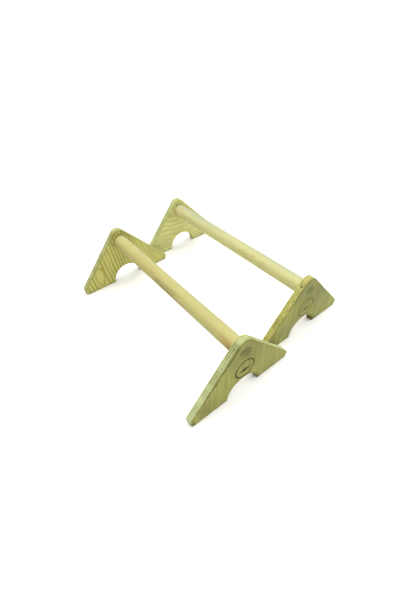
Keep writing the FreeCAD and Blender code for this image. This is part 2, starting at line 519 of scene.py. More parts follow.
class Groups:
    """The shader node groups that several finishes share, each built once."""

    def __init__(self) -> None:
        """Builds every group."""
        self.figure = self._figure()
        self.fibre = self._fibre()
        self.board = self._board()
        self.handling = self._handling()

    @staticmethod
    def _figure() -> bpy.types.NodeTree:
        """Growth rings on a peeled veneer: long ovals round two centres, which meet like hills.

        Distance from a centre is the root of across^2 + (along / stretch)^2, and the second one's
        has its start added. Rings lie at equal steps of the smaller distance, raised to the
        crowding as a share of a reach, so that a crowding under 1 closes them up near the centre.
        Each ring darkens slowly and ends abruptly, and the heart of each centre stays plain.

        Returns:
            The group.
        """
        nodes = GroupNodes(
            "veneer_figure",
            {
                "Across": 0.0, "Along": 0.0, "Second Across": 0.0, "Second Along": 0.0,
                "Second Start": 0.0, "Ring Width": 12.0, "Crowding": 1.0, "Stretch": 5.0,
                "Waviness": 6.0, "Seed": 0.0,
            },
            ["Late"],
        )
        given = nodes.given
        across, along, seed = given["Across"], given["Along"], given["Seed"]
        reach, meeting, heart = 250.0, 14.0, (6.0, 17.0)
        sway = nodes.noise(nodes.combine(across * 0.02, along * 0.011, seed))
        shift = (sway - 0.5) * given["Waviness"]

        def distance(side: Value, length: Value) -> Value:
            """Distance from a centre, given the place from it across and along the grain."""
            side, length = side + shift, length / given["Stretch"]
            return nodes.math("SQRT", side * side + length * length)

        first = distance(across, along)
        second = distance(given["Second Across"], given["Second Along"])
        hearts = nodes.step(nodes.math("MINIMUM", first, second), *heart)
        nearest = nodes.math("SMOOTH_MIN", first, second + given["Second Start"], meeting)
        ripple = nodes.noise(nodes.combine(across * 0.09, along * 0.02, seed), detail=3.0)
        crowded = nodes.math("POWER", nearest / reach, given["Crowding"]) * reach
        share = nodes.math("FRACT", crowded / given["Ring Width"] + ripple * 0.55)
        ring = nodes.step(share, 0.25, 0.86) * nodes.step(share, 0.9, 1.0, 1.0, 0.0)
        return nodes.put_out(Late=ring * hearts)

    @staticmethod
    def _fibre() -> bpy.types.NodeTree:
        """Fibres along the grain: noise drawn out lengthwise, from fine hairs to broad bands.

        Returns:
            The group.
        """
        nodes = GroupNodes(
            "wood_fibre",
            {"Across": 0.0, "Along": 0.0, "Seed": 0.0},
            ["Fine", "Streak", "Broad", "Pore"],
        )
        across, along, seed = (nodes.given[key] for key in ("Across", "Along", "Seed"))

        def drawn(wide: float, long: float, detail: float) -> Value:
            """Noise of so many cycles per millimetre across and along the grain."""
            place = nodes.combine(across * wide, along * long, seed)
            return nodes.noise(place, detail=detail, roughness=0.55)

        pores = nodes.noise(nodes.combine(across * 1.9, along * 0.16, seed + 7.0), detail=1.0)
        return nodes.put_out(
            Fine=drawn(0.95, 0.022, 3.0),
            Streak=drawn(0.22, 0.008, 3.0),
            Broad=drawn(0.03, 0.006, 2.0),
            Pore=nodes.step(pores, 0.66, 0.76),
        )

    @staticmethod
    def _board() -> bpy.types.NodeTree:
        """Growth rings through a solid bar: circles round a pith line that drifts with length.

        Side 1 and Side 2 are measured from the bar's axis. Distance from the pith, over the ring
        width, gives the ring, which darkens towards its outer side.

        Returns:
            The group.
        """
        nodes = GroupNodes(
            "board_rings",
            {
                "Along": 0.0, "Side 1": 0.0, "Side 2": 0.0, "Pith 1": 30.0, "Pith 2": 12.0,
                "Ring Width": 3.0, "Seed": 0.0,
            },
            ["Late"],
        )
        given = nodes.given
        along = given["Along"]
        reach = 18.0
        squares = []
        for index, side in enumerate(("1", "2")):
            drift = nodes.noise(
                nodes.combine(along * 0.004, given["Seed"], float(index)), detail=1.0
            )
            offset = (given[f"Side {side}"] - given[f"Pith {side}"]) + (drift - 0.5) * reach
            squares.append(offset * offset)
        distance = nodes.math("SQRT", squares[0] + squares[1])
        wobble = nodes.noise(
            nodes.combine(along * 0.01, given["Side 1"] * 0.08, given["Side 2"] * 0.08)
        )
        share = nodes.math("FRACT", distance / given["Ring Width"] + wobble * 1.1)
        ring = nodes.step(share, 0.3, 0.85) * nodes.step(share, 0.88, 1.0, 1.0, 0.0)
        return nodes.put_out(Late=ring)

    @staticmethod
    def _handling() -> bpy.types.NodeTree:
        """Where hands and sanding have worked: patchy along the arrises, faint elsewhere.

        Returns:
            The group.
        """
        nodes = GroupNodes(
            "handling_wear", {"Vector": (0.0, 0.0, 0.0), "Arris": 0.0}, ["Worn", "Grime"]
        )
        place = nodes.given["Vector"]
        patches = nodes.noise(place, scale=0.09, detail=3.0)
        clouds = nodes.noise(place, scale=0.022, detail=4.0, roughness=0.6)
        return nodes.put_out(
            Worn=nodes.given["Arris"] * nodes.step(patches, 0.3, 0.62),
            Grime=nodes.step(clouds, 0.42, 0.75),
        )


# ---------------------------------------------------------------------------------------------
# Finishes
# ---------------------------------------------------------------------------------------------


def shade(colour: Colour, factor: float) -> Colour:
    """A colour times a number."""
    return tuple(factor * part for part in colour)


@dataclass(frozen=True)
class VeneerFinish:
    """Sanded softwood veneer on a plate's flat face.

    Fields:
        early: Colour of the pale early wood.
        late: Colour of the dark late wood.
        figure_strength: How strongly the rings show, from 0 to 1.
        fibre_strength: How strongly the close straight grain shows.
        ring_width: Spacing of the rings, in millimetres.
        stretch: Length of the ring ovals over their width.
        waviness: Sideways sway of the rings, in millimetres.
        centre: Middle of the first set of ovals (across, up), from the foot line's middle.
        second_centre: Middle of the second set.
        grain_turn: Angle of the grain from upright, in degrees, turning the top away from +across.
        seed: Picks the random pattern.
        arris: Colour of the worn or dirty corner round the face.
        blotch: Colour of broad weathered patches.
        blotch_strength: How strongly those patches show.
        second_start: Added to distances from the second centre, which keeps its ovals local.
        plain: Place and size (across, up, radius) of an area where the rings fade out.
        plain_strength: How strongly the rings still show in that area.
        crowding: 1 for even rings, less to close them up towards their centre.
        shine: Specular level.
        relief: Depth of the grain in metres.
    """

    early: Colour
    late: Colour
    figure_strength: float
    fibre_strength: float
    ring_width: float
    stretch: float
    waviness: float
    centre: tuple[float, float]
    second_centre: tuple[float, float]
    grain_turn: float
    seed: float
    arris: Colour
    blotch: Colour = (0.3, 0.33, 0.14)
    blotch_strength: float = 0.0
    second_start: float = 0.0
    plain: tuple[float, float, float] = (0.0, -400.0, 50.0)
    plain_strength: float = 0.1
    crowding: float = 1.0
    shine: float = 0.07
    relief: float = 0.00022

    def material(self, name: str, middle: float, groups: Groups) -> bpy.types.Material:
        """Veneer material for a plate whose middle is at that Y.

        Args:
            name: Material name.
            middle: Y of the plate's middle, in millimetres.
            groups: Shared node groups.

        Returns:
            The material.
        """
        build = MaterialNodes(name)
        place = build.place()
        _, y, up = build.split(place)
        across = y - middle
        sine = math.sin(math.radians(self.grain_turn))
        cosine = math.cos(math.radians(self.grain_turn))

        def turned(centre: tuple[float, float]) -> tuple[Value, Value]:
            """Place from a centre, measured across and along the grain."""
            side, rise = across - centre[0], up - centre[1]
            return side * cosine + rise * sine, rise * cosine - side * sine

        first, along = turned(self.centre)
        second, second_along = turned(self.second_centre)
        rings = build.use(
            groups.figure, Across=first, Along=along, Second_Across=second,
            Second_Along=second_along, Second_Start=self.second_start,
            Ring_Width=self.ring_width, Crowding=self.crowding, Stretch=self.stretch,
            Waviness=self.waviness, Seed=self.seed,
        )["Late"]
        fibre = build.use(groups.fibre, Across=first, Along=along, Seed=self.seed)
        plain_across, plain_up, plain_radius = self.plain
        away = Value(build, build.add(
            "VectorMath", build.combine(across, up), (plain_across, plain_up, 0.0),
            operation="DISTANCE",
        ).outputs["Value"])
        shown = build.step(
            away, 0.45 * plain_radius, plain_radius, self.plain_strength, self.figure_strength
        )
        colour = build.mix(rings * shown, self.early, self.late)
        hair, reach, band = self.fibre_strength, 0.04 + 0.8 * self.fibre_strength, 0.05
        fine = build.step(fibre["Fine"], *NOISE_BODY, -hair, hair)
        streak = build.step(fibre["Streak"], *NOISE_SPAN, -reach, reach)
        broad = build.step(fibre["Broad"], *NOISE_SPAN, -band, band)
        colour = build.scale(colour, (fine + 1.0) + (streak + broad))
        colour = build.mix(fibre["Pore"] * 0.22, colour, shade(self.late, 0.5))
        patch = build.noise(
            build.combine(first * 0.036, along * 0.014, self.seed + 3.0), detail=3.0
        )
        patch = build.step(patch, 0.4, 0.62) * self.blotch_strength
        colour = build.mix(patch, colour, self.blotch)
        colour = self._use_marks(build, colour, place, fibre, groups)
        roughness = build.step(fibre["Fine"], 0.2, 0.8, 0.5, 0.62) - rings * 0.06
        height = fibre["Fine"] * 0.35 + (
            rings * (0.4 * self.figure_strength) - fibre["Pore"] * 0.5
        )
        return build.finish(colour, roughness, height, self.relief, self.shine)

    def _use_marks(
        self, build: Nodes, colour: Value, place: Value, fibre: dict[str, Value], groups: Groups
    ) -> Value:
        """Lays grime, worn arrises, dirt with painted shade, and scorching over the wood.

        Args:
            build: The material's nodes.
            colour: Colour of the clean wood.
            place: Place on the piece.
            fibre: Outputs of the fibre group.
            groups: Shared node groups.

        Returns:
            The marked colour.
        """
        wear = build.use(groups.handling, Vector=place, Arris=build.attribute("arris"))
        # Dirt, and painted shade along the sole, in the arch's corners and round the rail's joint.
        soil_and_shade = build.attribute("soil_and_shade") * build.step(fibre["Streak"], 0.25, 0.6, 0.7, 1.0)
        scorch = build.attribute("scorch") * build.step(fibre["Broad"], 0.3, 0.6, 0.9, 1.0)
        for share, mark in (
            (wear["Grime"] * 0.08, GRIME),
            (wear["Worn"] * 0.6, self.arris),
            (soil_and_shade, SOIL_AND_SHADE),
            (scorch, SCORCH),
        ):
            colour = build.mix(share, colour, mark)
        return colour


@dataclass(frozen=True)
class PlyEdgeFinish:
    """Sawn edge of plywood: pale layers cut along the grain, thin dark ones cut across it.

    Fields:
        along_cut: Colour of a layer whose fibres run along the edge.
        across_cut: Colour of a layer that shows its end grain.
        glue: Colour of the glue lines.
        contrast: How strongly the dark layers show, from 0 to 1.
        foot: Colour that the edge takes on towards the floor.
        foot_share: How far it takes that colour on.
        torn: Roughness of the cut and darkness of its torn specks, from 0 to 1.
        seed: Picks the random pattern.
        foot_range: Heights between which the foot's colour fades in, upper one first.
        blur: Half width of the soft border between two layers, in millimetres.
        relief: Depth of the saw marks in metres.
    """

    along_cut: Colour
    across_cut: Colour
    glue: Colour
    contrast: float
    foot: Colour
    foot_share: float
    torn: float
    seed: float
    foot_range: tuple[float, float] = (112.0, 58.0)
    blur: float = 0.22
    relief: float = 0.0003

    def material(
        self, name: str, outer_x: float, outward: int, shape: "PlateShape", groups: Groups
    ) -> bpy.types.Material:
        """Edge material for one plate.

        The layers repeat as pairs, a pale one and a dark one. The distance from the middle of the
        dark one, less its half width, places the glue lines.

        Args:
            name: Material name.
            outer_x: X of the plate's outer face, in millimetres.
            outward: 1 if that face looks towards +X, else -1.
            shape: The plate's sizes.
            groups: Shared node groups.

        Returns:
            The material.
        """
        build = MaterialNodes(name)
        place = build.place()
        x, y, z = build.split(place)
        depth = (outer_x - x) * float(outward)
        drift = build.noise(build.combine(y, z, self.seed), scale=0.03)
        depth_here = depth + (drift * 0.7 - 0.35)
        pale_end, pair_end = shape.layer_ends()[:2]
        share = build.math("MODULO", depth_here, pair_end)
        pair = build.math("FLOOR", depth_here / pair_end)
        off = build.math("ABSOLUTE", share - (pale_end + pair_end) / 2)
        half = (pair_end - pale_end) / 2
        fibres = build.noise(
            build.combine(depth * 1.6, y * 0.06, z * 0.06), detail=4.0, roughness=0.6
        )
        ends = build.noise(
            build.combine(depth * 0.8, y * 0.6, z * 0.6), detail=4.0, roughness=0.65
        )
        lengths = build.noise(build.combine(y, z, pair), scale=0.045, detail=3.0)
        patchy = build.step(lengths, 0.3, 0.6, 0.55, 1.0)
        pale = build.mix(build.step(lengths, 0.35, 0.65), self.along_cut, self.across_cut)
        pale = build.mix(0.72, pale, self.along_cut)
        rough = 0.1 + 0.3 * self.torn
        pale = build.scale(pale, build.step(fibres, *NOISE_BODY, 1 - rough, 1 + rough))
        dark = build.scale(self.across_cut, build.step(ends, *NOISE_BODY, 0.72, 1.22))
        dark_layer = build.step(off, half + self.blur, half - self.blur)
        line = build.step(build.math("ABSOLUTE", off - half), 0.3, 0.08) * build.step(
            lengths, 0.35, 0.6, 0.15 * self.contrast, 0.75 * self.contrast
        )
        specks = build.noise(build.combine(depth * 2.2, y, z), scale=0.2)
        # Dirt, and painted contact shadow along the sole and in the arch's corners.
        soil_and_shade = build.attribute("soil_and_shade") * build.step(ends, 0.3, 0.6, 0.8, 1.0)
        wear = build.use(groups.handling, Vector=place, Arris=build.attribute("arris"))
        colour = pale
        for amount, tone in (
            (dark_layer * self.contrast * patchy, dark),
            (build.step(z, *self.foot_range, 0.0, self.foot_share) * patchy, self.foot),
            (line, self.glue),
            (build.step(ends, 0.62, 0.7) * 0.55, shade(self.across_cut, 0.55)),
            (build.step(specks, 0.58, 0.68, 0.0, self.torn), shade(self.across_cut, 0.5)),
            # Painted shade in the core gaps and the nail's hole.
            (build.attribute("hollow_shade") * 0.85, HOLLOW_SHADE),
            (wear["Grime"] * 0.1, SOIL_AND_SHADE),
            (soil_and_shade, SOIL_AND_SHADE),
        ):
            colour = build.mix(amount, colour, tone)
        height = (fibres * 0.3 + ends * 0.7) - line * 0.5
        roughness = build.step(ends, *NOISE_BODY, 0.58, 0.74)
        return build.finish(colour, roughness, height, self.relief)


@dataclass(frozen=True)
class RailFinish:
    """Sanded pale softwood bar, with faint rings along it and arcs of end grain at its ends.

    Fields:
        early: Colour of the pale wood.
        late: Colour of the ring lines.
        blush: Warm tint of the patches that the mesh's blush values mark.
        stain_and_shade: Brown of the streaks and specks that the mesh marks: real stained wood, and
            painted shade on the front bar's -Y side.
        top_light_tint: Cool tint painted along the bar's upper side as light and shade from above,
            where the mesh's top light values mark it.
        end: Colour of the end grain.
        end_rim: Colour at the rim of the end grain, where glue and sanding dust blur it.
        ring_width: Ring spacing in millimetres.
        pith: Place of the pith from the bar's axis (Y, Z), in millimetres.
        seed: Picks the random pattern.
        relief: Depth of the grain in metres.
    """

    early: Colour
    late: Colour
    blush: Colour
    stain_and_shade: Colour
    top_light_tint: Colour
    end: Colour
    end_rim: Colour
    ring_width: float
    pith: tuple[float, float]
    seed: float
    relief: float = 0.00012

    def material(
        self, name: str, axis: tuple[float, float], part: RailPart, groups: Groups
    ) -> bpy.types.Material:
        """Bar material for its side or its ends.

        Args:
            name: Material name.
            axis: Y and Z of the bar's axis, in millimetres.
            part: Which faces it is for.
            groups: Shared node groups.

        Returns:
            The material.
        """
        build = MaterialNodes(name)
        along, y, z = build.split(build.place())
        side, rise = y - axis[0], z - axis[1]
        late = build.use(
            groups.board, Along=along, Side_1=side, Side_2=rise, Pith_1=self.pith[0],
            Pith_2=self.pith[1], Ring_Width=self.ring_width, Seed=self.seed,
        )["Late"]
        if part is RailPart.END:
            return self._end_grain(build, side, rise, late)
        fibre = build.use(groups.fibre, Across=side + rise * 1.37, Along=along, Seed=self.seed)
        fine = build.step(fibre["Fine"], *NOISE_BODY, 0.965, 1.035)
        streak = build.step(fibre["Streak"], *NOISE_SPAN, 0.97, 1.03)
        clouds = build.noise(
            build.combine(along * 0.022, side * 0.06, rise * 0.06), detail=4.0, roughness=0.6
        )
        specks = build.noise(build.combine(along * 0.17, side * 0.3, rise * 0.3), detail=1.0)
        ragged = build.step(fibre["Streak"], 0.34, 0.56, 0.45, 1.0)
        colour = build.mix(late * 0.2, self.early, self.late)
        colour = build.scale(colour, fine * streak)
        for share, tone in (
            (build.step(clouds, 0.48, 0.72, 0.0, 0.3), shade(self.late, 0.86)),
            # Painted light and shade: a cool tint along the bar's upper side.
            (build.attribute("top_light_tint") * 0.85, self.top_light_tint),
            (build.attribute("blush") * 0.8, self.blush),
            # Brown streaks, partly real and partly painted shade on the front bar's -Y side.
            (build.attribute("stain_and_shade") * ragged, self.stain_and_shade),
            (build.step(specks, 0.69, 0.78, 0.0, 0.4), self.stain_and_shade),
            (fibre["Pore"] * 0.12, shade(self.late, 0.55)),
        ):
            colour = build.mix(share, colour, tone)
        roughness = build.step(fibre["Streak"], *NOISE_BODY, 0.46, 0.58)
        height = fibre["Fine"] * 0.4 + late * 0.3
        return build.finish(colour, roughness, height, self.relief)

    def _end_grain(
        self, build: MaterialNodes, side: Value, rise: Value, late: Value
    ) -> bpy.types.Material:
        """End grain: faint ring arcs, a darker upper side, and a blurred rim.

        Args:
            build: The nodes of the material.
            side: Distance from the axis along Y.
            rise: Distance from the axis along Z.
            late: Ring darkness.

        Returns:
            The material.
        """
        spot = build.combine(side, rise, self.seed)
        speck = build.noise(spot, scale=1.1, detail=3.0)
        clouds = build.noise(spot, scale=0.11)
        colour = build.mix(late * 0.7, self.end, shade(self.end, 0.62))
        colour = build.scale(colour, build.step(speck, 0.35, 0.65, 0.84, 1.16))
        away = (side * 0.8 + rise) + (clouds * 30.0 - 15.0)
        radius = build.math("SQRT", side * side + rise * rise)
        blur = build.math(
            "MAXIMUM", build.step(away, 2.0, -18.0, 0.0, 0.7), build.step(radius, 14.0, 19.0)
        )
        colour = build.mix(blur, colour, self.end_rim)
        roughness = build.step(speck, *NOISE_BODY, 0.6, 0.75)
        return build.finish(colour, roughness, speck + late, self.relief)


@dataclass(frozen=True)
class SteelFinish:
    """Dull nail steel with rust where it meets the wood.

    Fields:
        steel: Colour of the bare steel.
        rust: Colour of the rust.
        shine: Specular level.
        relief: Depth of the rust in metres.
    """

    steel: Colour = (0.1, 0.094, 0.08)
    rust: Colour = (0.06, 0.034, 0.014)
    shine: float = 0.5
    relief: float = 0.00008

    def material(self, name: str) -> bpy.types.Material:
        """Steel material, bare metal where there is no rust.

        Args:
            name: Material name.

        Returns:
            The material.
        """
        build = MaterialNodes(name)
        place = build.place()
        patches = build.noise(place, scale=0.9, detail=4.0)
        scratches = build.noise(place, scale=3.5)
        rust = build.step(patches, 0.42, 0.6)
        colour = build.mix(rust * 0.8, self.steel, self.rust)
        roughness = build.step(scratches, *NOISE_BODY, 0.36, 0.5) + rust * 0.3
        return build.finish(
            colour, roughness, patches, self.relief, self.shine, metallic=1.0 - rust
        )


@dataclass(frozen=True)
class GlueFinish:
    """Dried wood glue, yellow-brown and slightly glossy, dusted with sanding dirt.

    Fields:
        colour: Colour of clean glue.
        dirt: Colour of the dirt on it.
        shine: Specular level.
        relief: Depth of its unevenness in metres.
    """

    colour: Colour = (0.25, 0.215, 0.085)
    dirt: Colour = (0.14, 0.115, 0.045)
    shine: float = 0.4
    relief: float = 0.0001

    def material(self, name: str) -> bpy.types.Material:
        """Glue material, duller where it is dirty.

        Args:
            name: Material name.

        Returns:
            The material.
        """
        build = MaterialNodes(name)
        patches = build.noise(build.place(), scale=0.35, detail=4.0)
        colour = build.mix(build.step(patches, 0.4, 0.65), self.colour, self.dirt)
        roughness = build.step(patches, *NOISE_BODY, 0.3, 0.6)
        return build.finish(colour, roughness, patches, self.relief, self.shine)


# ---------------------------------------------------------------------------------------------
# Plate
# ---------------------------------------------------------------------------------------------


@dataclass(frozen=True)
class PlateShape:
    """Outline and section of an end plate, in millimetres, in its own plane (across, up).

    The outline is the outer tangents of two foot circles and one apex circle, with a half-round
    arch between the feet.

    Fields:
        base_length: Length over both feet.
        height: Height to the top of the apex.
        thickness: Thickness of the plate.
        rail_radius: Radius of the rail and of its bore.
        rail_height: Height of the rail's axis.
        apex_radius: Radius of the apex circle.
        foot_radius: Radius of each foot circle.
        arch_radius: Radius of the arch.
        corner_radius: Rounding where the arch meets a sole.
        arris_radius: Rounding between a face and the sawn edge.
        bore_ease: Rounding of the bore's mouth.
        ply_count: Number of layers.
        pale_share: Thickness of a pale layer over that of a dark one.
        bulge: Greatest sideways bow of a face's lines beside the arch.
        rim_allowance: How far the rounding lies inside the outline.
        face_allowance: How far a face lies inside the thickness.
        bore_allowance: How far the bore's wall lies outside the rail.
    """

    base_length: float
    height: float
    thickness: float
    rail_radius: float
    rail_height: float
    apex_radius: float = 22.0
    foot_radius: float = 12.0
    arch_radius: float = 45.0
    corner_radius: float = 1.4
    arris_radius: float = 1.15
    bore_ease: float = 0.55
    ply_count: int = 7
    pale_share: float = 1.75
    bulge: float = 12.0
    rim_allowance: float = 0.03
    face_allowance: float = 0.01
    bore_allowance: float = 0.05

    @property
    def foot_centre(self) -> float:
        """Distance of a foot circle's centre from the middle."""
        return self.base_length / 2 - self.foot_radius

    @property
    def apex_centre(self) -> float:
        """Height of the apex circle's centre."""
        return self.height - self.apex_radius

    @property
    def slope(self) -> float:
        """Angle of a sloped edge from level: line of centres plus the turn of the tangent.

        Returns:
            The angle in radians.
        """
        rise = self.apex_centre - self.foot_radius
        radii = self.apex_radius - self.foot_radius
        return math.atan2(rise, self.foot_centre) + math.asin(
            radii / math.hypot(rise, self.foot_centre)
        )

    def layer_ends(self) -> np.ndarray:
        """Depths at which the layers end: thick pale and thin dark ones in turn.

        Returns:
            Rising depths, of which the last is the thickness.
        """
        share = np.where(np.arange(self.ply_count) % 2 == 0, self.pale_share, 1.0)
        return np.cumsum(share) / share.sum() * self.thickness

    def segments(self) -> list[tuple]:
        """The outline's lines and arcs, anticlockwise from the inner end of the right sole.

        Returns:
            Lines as ("line", start, end) and arcs as ("arc", centre, radius, start angle, end
            angle), with angles in radians. An arc whose angle falls has its material outside.
        """
        foot_y, apex_z, slope = self.foot_centre, self.apex_centre, self.slope
        reach = self.arch_radius + self.corner_radius
        corner_y = math.sqrt(reach**2 - self.corner_radius**2)
        lean = math.asin(self.corner_radius / reach)
        right = np.array([math.sin(slope), math.cos(slope)])
        left = right * [-1.0, 1.0]
        quarter = math.pi / 2
        foot = np.array([foot_y, self.foot_radius])
        other_foot = np.array([-foot_y, self.foot_radius])
        apex = np.array([0.0, apex_z])
        corner = np.array([corner_y, self.corner_radius])
        other_corner = np.array([-corner_y, self.corner_radius])
        return [
            ("line", np.array([corner_y, 0.0]), np.array([foot_y, 0.0])),
            ("arc", foot, self.foot_radius, -quarter, quarter - slope),
            ("line", foot + right * self.foot_radius, apex + right * self.apex_radius),
            ("arc", apex, self.apex_radius, quarter - slope, quarter + slope),
            ("line", apex + left * self.apex_radius, other_foot + left * self.foot_radius),
            ("arc", other_foot, self.foot_radius, quarter + slope, 3 * quarter),
            ("line", np.array([-foot_y, 0.0]), np.array([-corner_y, 0.0])),
            ("arc", other_corner, self.corner_radius, 3 * quarter, 4 * quarter - lean),
            ("arc", np.zeros(2), self.arch_radius, math.pi - lean, lean),
            ("arc", corner, self.corner_radius, math.pi + lean, 3 * quarter),
        ]

    def starts(self) -> np.ndarray:
        """Lengths along the outline at which its segments start.

        Returns:
            One length per segment, and the whole length last.
        """
        lengths = [
            np.linalg.norm(part[2] - part[1])
            if part[0] == "line"
            else part[2] * abs(part[4] - part[3])
            for part in self.segments()
        ]
        return np.concatenate([[0.0], np.cumsum(lengths)])

    def outline(self, place: np.ndarray) -> tuple[np.ndarray, np.ndarray]:
        """Points of the outline and the directions that point out of the wood there.

        Args:
            place: Lengths along the outline.

        Returns:
            Two arrays, each places x 2.
        """
        points = np.zeros((len(place), 2))
        outward = np.zeros((len(place), 2))
        starts = self.starts()
        for part, begin, end in zip(self.segments(), starts[:-1], starts[1:]):
            inside = (place >= begin) & (place < end)
            share = ((place[inside] - begin) / (end - begin))[:, None]
            if part[0] == "line":
                along = (part[2] - part[1]) / (end - begin)
                points[inside] = part[1] + share * (part[2] - part[1])
                outward[inside] = [along[1], -along[0]]
            else:
                _, centre, radius, first, last = part
                angle = first + share[:, 0] * (last - first)
                spoke = np.stack([np.cos(angle), np.sin(angle)], axis=1)
                points[inside] = centre + radius * spoke
                outward[inside] = spoke * np.sign(last - first)
        return points, outward

    def slope_place(self, side: int, down: float) -> float:
        """Length along the outline to a point on a slope.

        Args:
            side: 1 for the slope on the +across side, -1 for the other.
            down: Distance of the point down the slope, from where the apex's round ends.

        Returns:
            The length.
        """
        starts = self.starts()
        return starts[3] - down if side > 0 else starts[4] + down

    def nail_place(self, side: int) -> float:
        """Length along the outline to the nail's hole, on the slope on that side."""
        return self.slope_place(side, (self.apex_centre - self.rail_height) * math.sin(self.slope))


@dataclass(frozen=True)
class BurntMark:
    """Plain burnt ring with one flat lozenge in it, in the plate's plane (mm).

    Fields:
        centre: Middle of the ring (across, up), from the foot line's middle.
        ring_radius: Radius of the ring's middle line.
        line: Width of the ring's line.
        lozenge: Half width and half height of the lozenge.
        drop: How far the lozenge sits below the ring's middle.
        soft: Width over which the burn fades at its edge.
        depth: Depth burnt into the veneer.
        char: Darkness of the burn, from 0 to 1.
    """

    centre: tuple[float, float] = (2.5, 76.5)
    ring_radius: float = 25.5
    line: float = 3.5
    lozenge: tuple[float, float] = (18.0, 5.4)
    drop: float = 4.0
    soft: float = 0.5
    depth: float = 0.35
    char: float = 1.0

    def strength(self, across: np.ndarray, up: np.ndarray) -> np.ndarray:
        """How burnt a place is: 1 within the ring's line and within the lozenge.

        The ring is where the distance to its middle line is under half a line. The lozenge is
        where the shares of its half width and half height add up to less than 1.

        Args:
            across: Places across the plate.
            up: Heights.

        Returns:
            Values from 0 to 1, with soft edges.
        """
        side, rise = across - self.centre[0], up - self.centre[1]
        half = self.line / 2
        ring = np.abs(np.hypot(side, rise) - self.ring_radius)
        ring = smooth_step(half + self.soft, half - self.soft, ring)
        wide, tall = self.lozenge
        inside = (np.abs(side) / wide + np.abs(rise + self.drop) / tall - 1.0) * tall
        return self.char * np.maximum(ring, smooth_step(self.soft, -self.soft, inside))


# How finely a plate is drawn: points round its outline, rows across each face, and turns round the
# bore's mouth and the arris.
OUTLINE_SAMPLES = 4001
MARKED_STATIONS, PLAIN_STATIONS = 600, 560
MARKED_ROWS, PLAIN_ROWS, INNER_ROWS = 80, 30, 18
MOUTH_TURNS = np.linspace(0.0, math.pi / 2, 4)[:-1]
ARRIS_TURNS = np.linspace(0.0, math.pi / 2, 6)[1:]


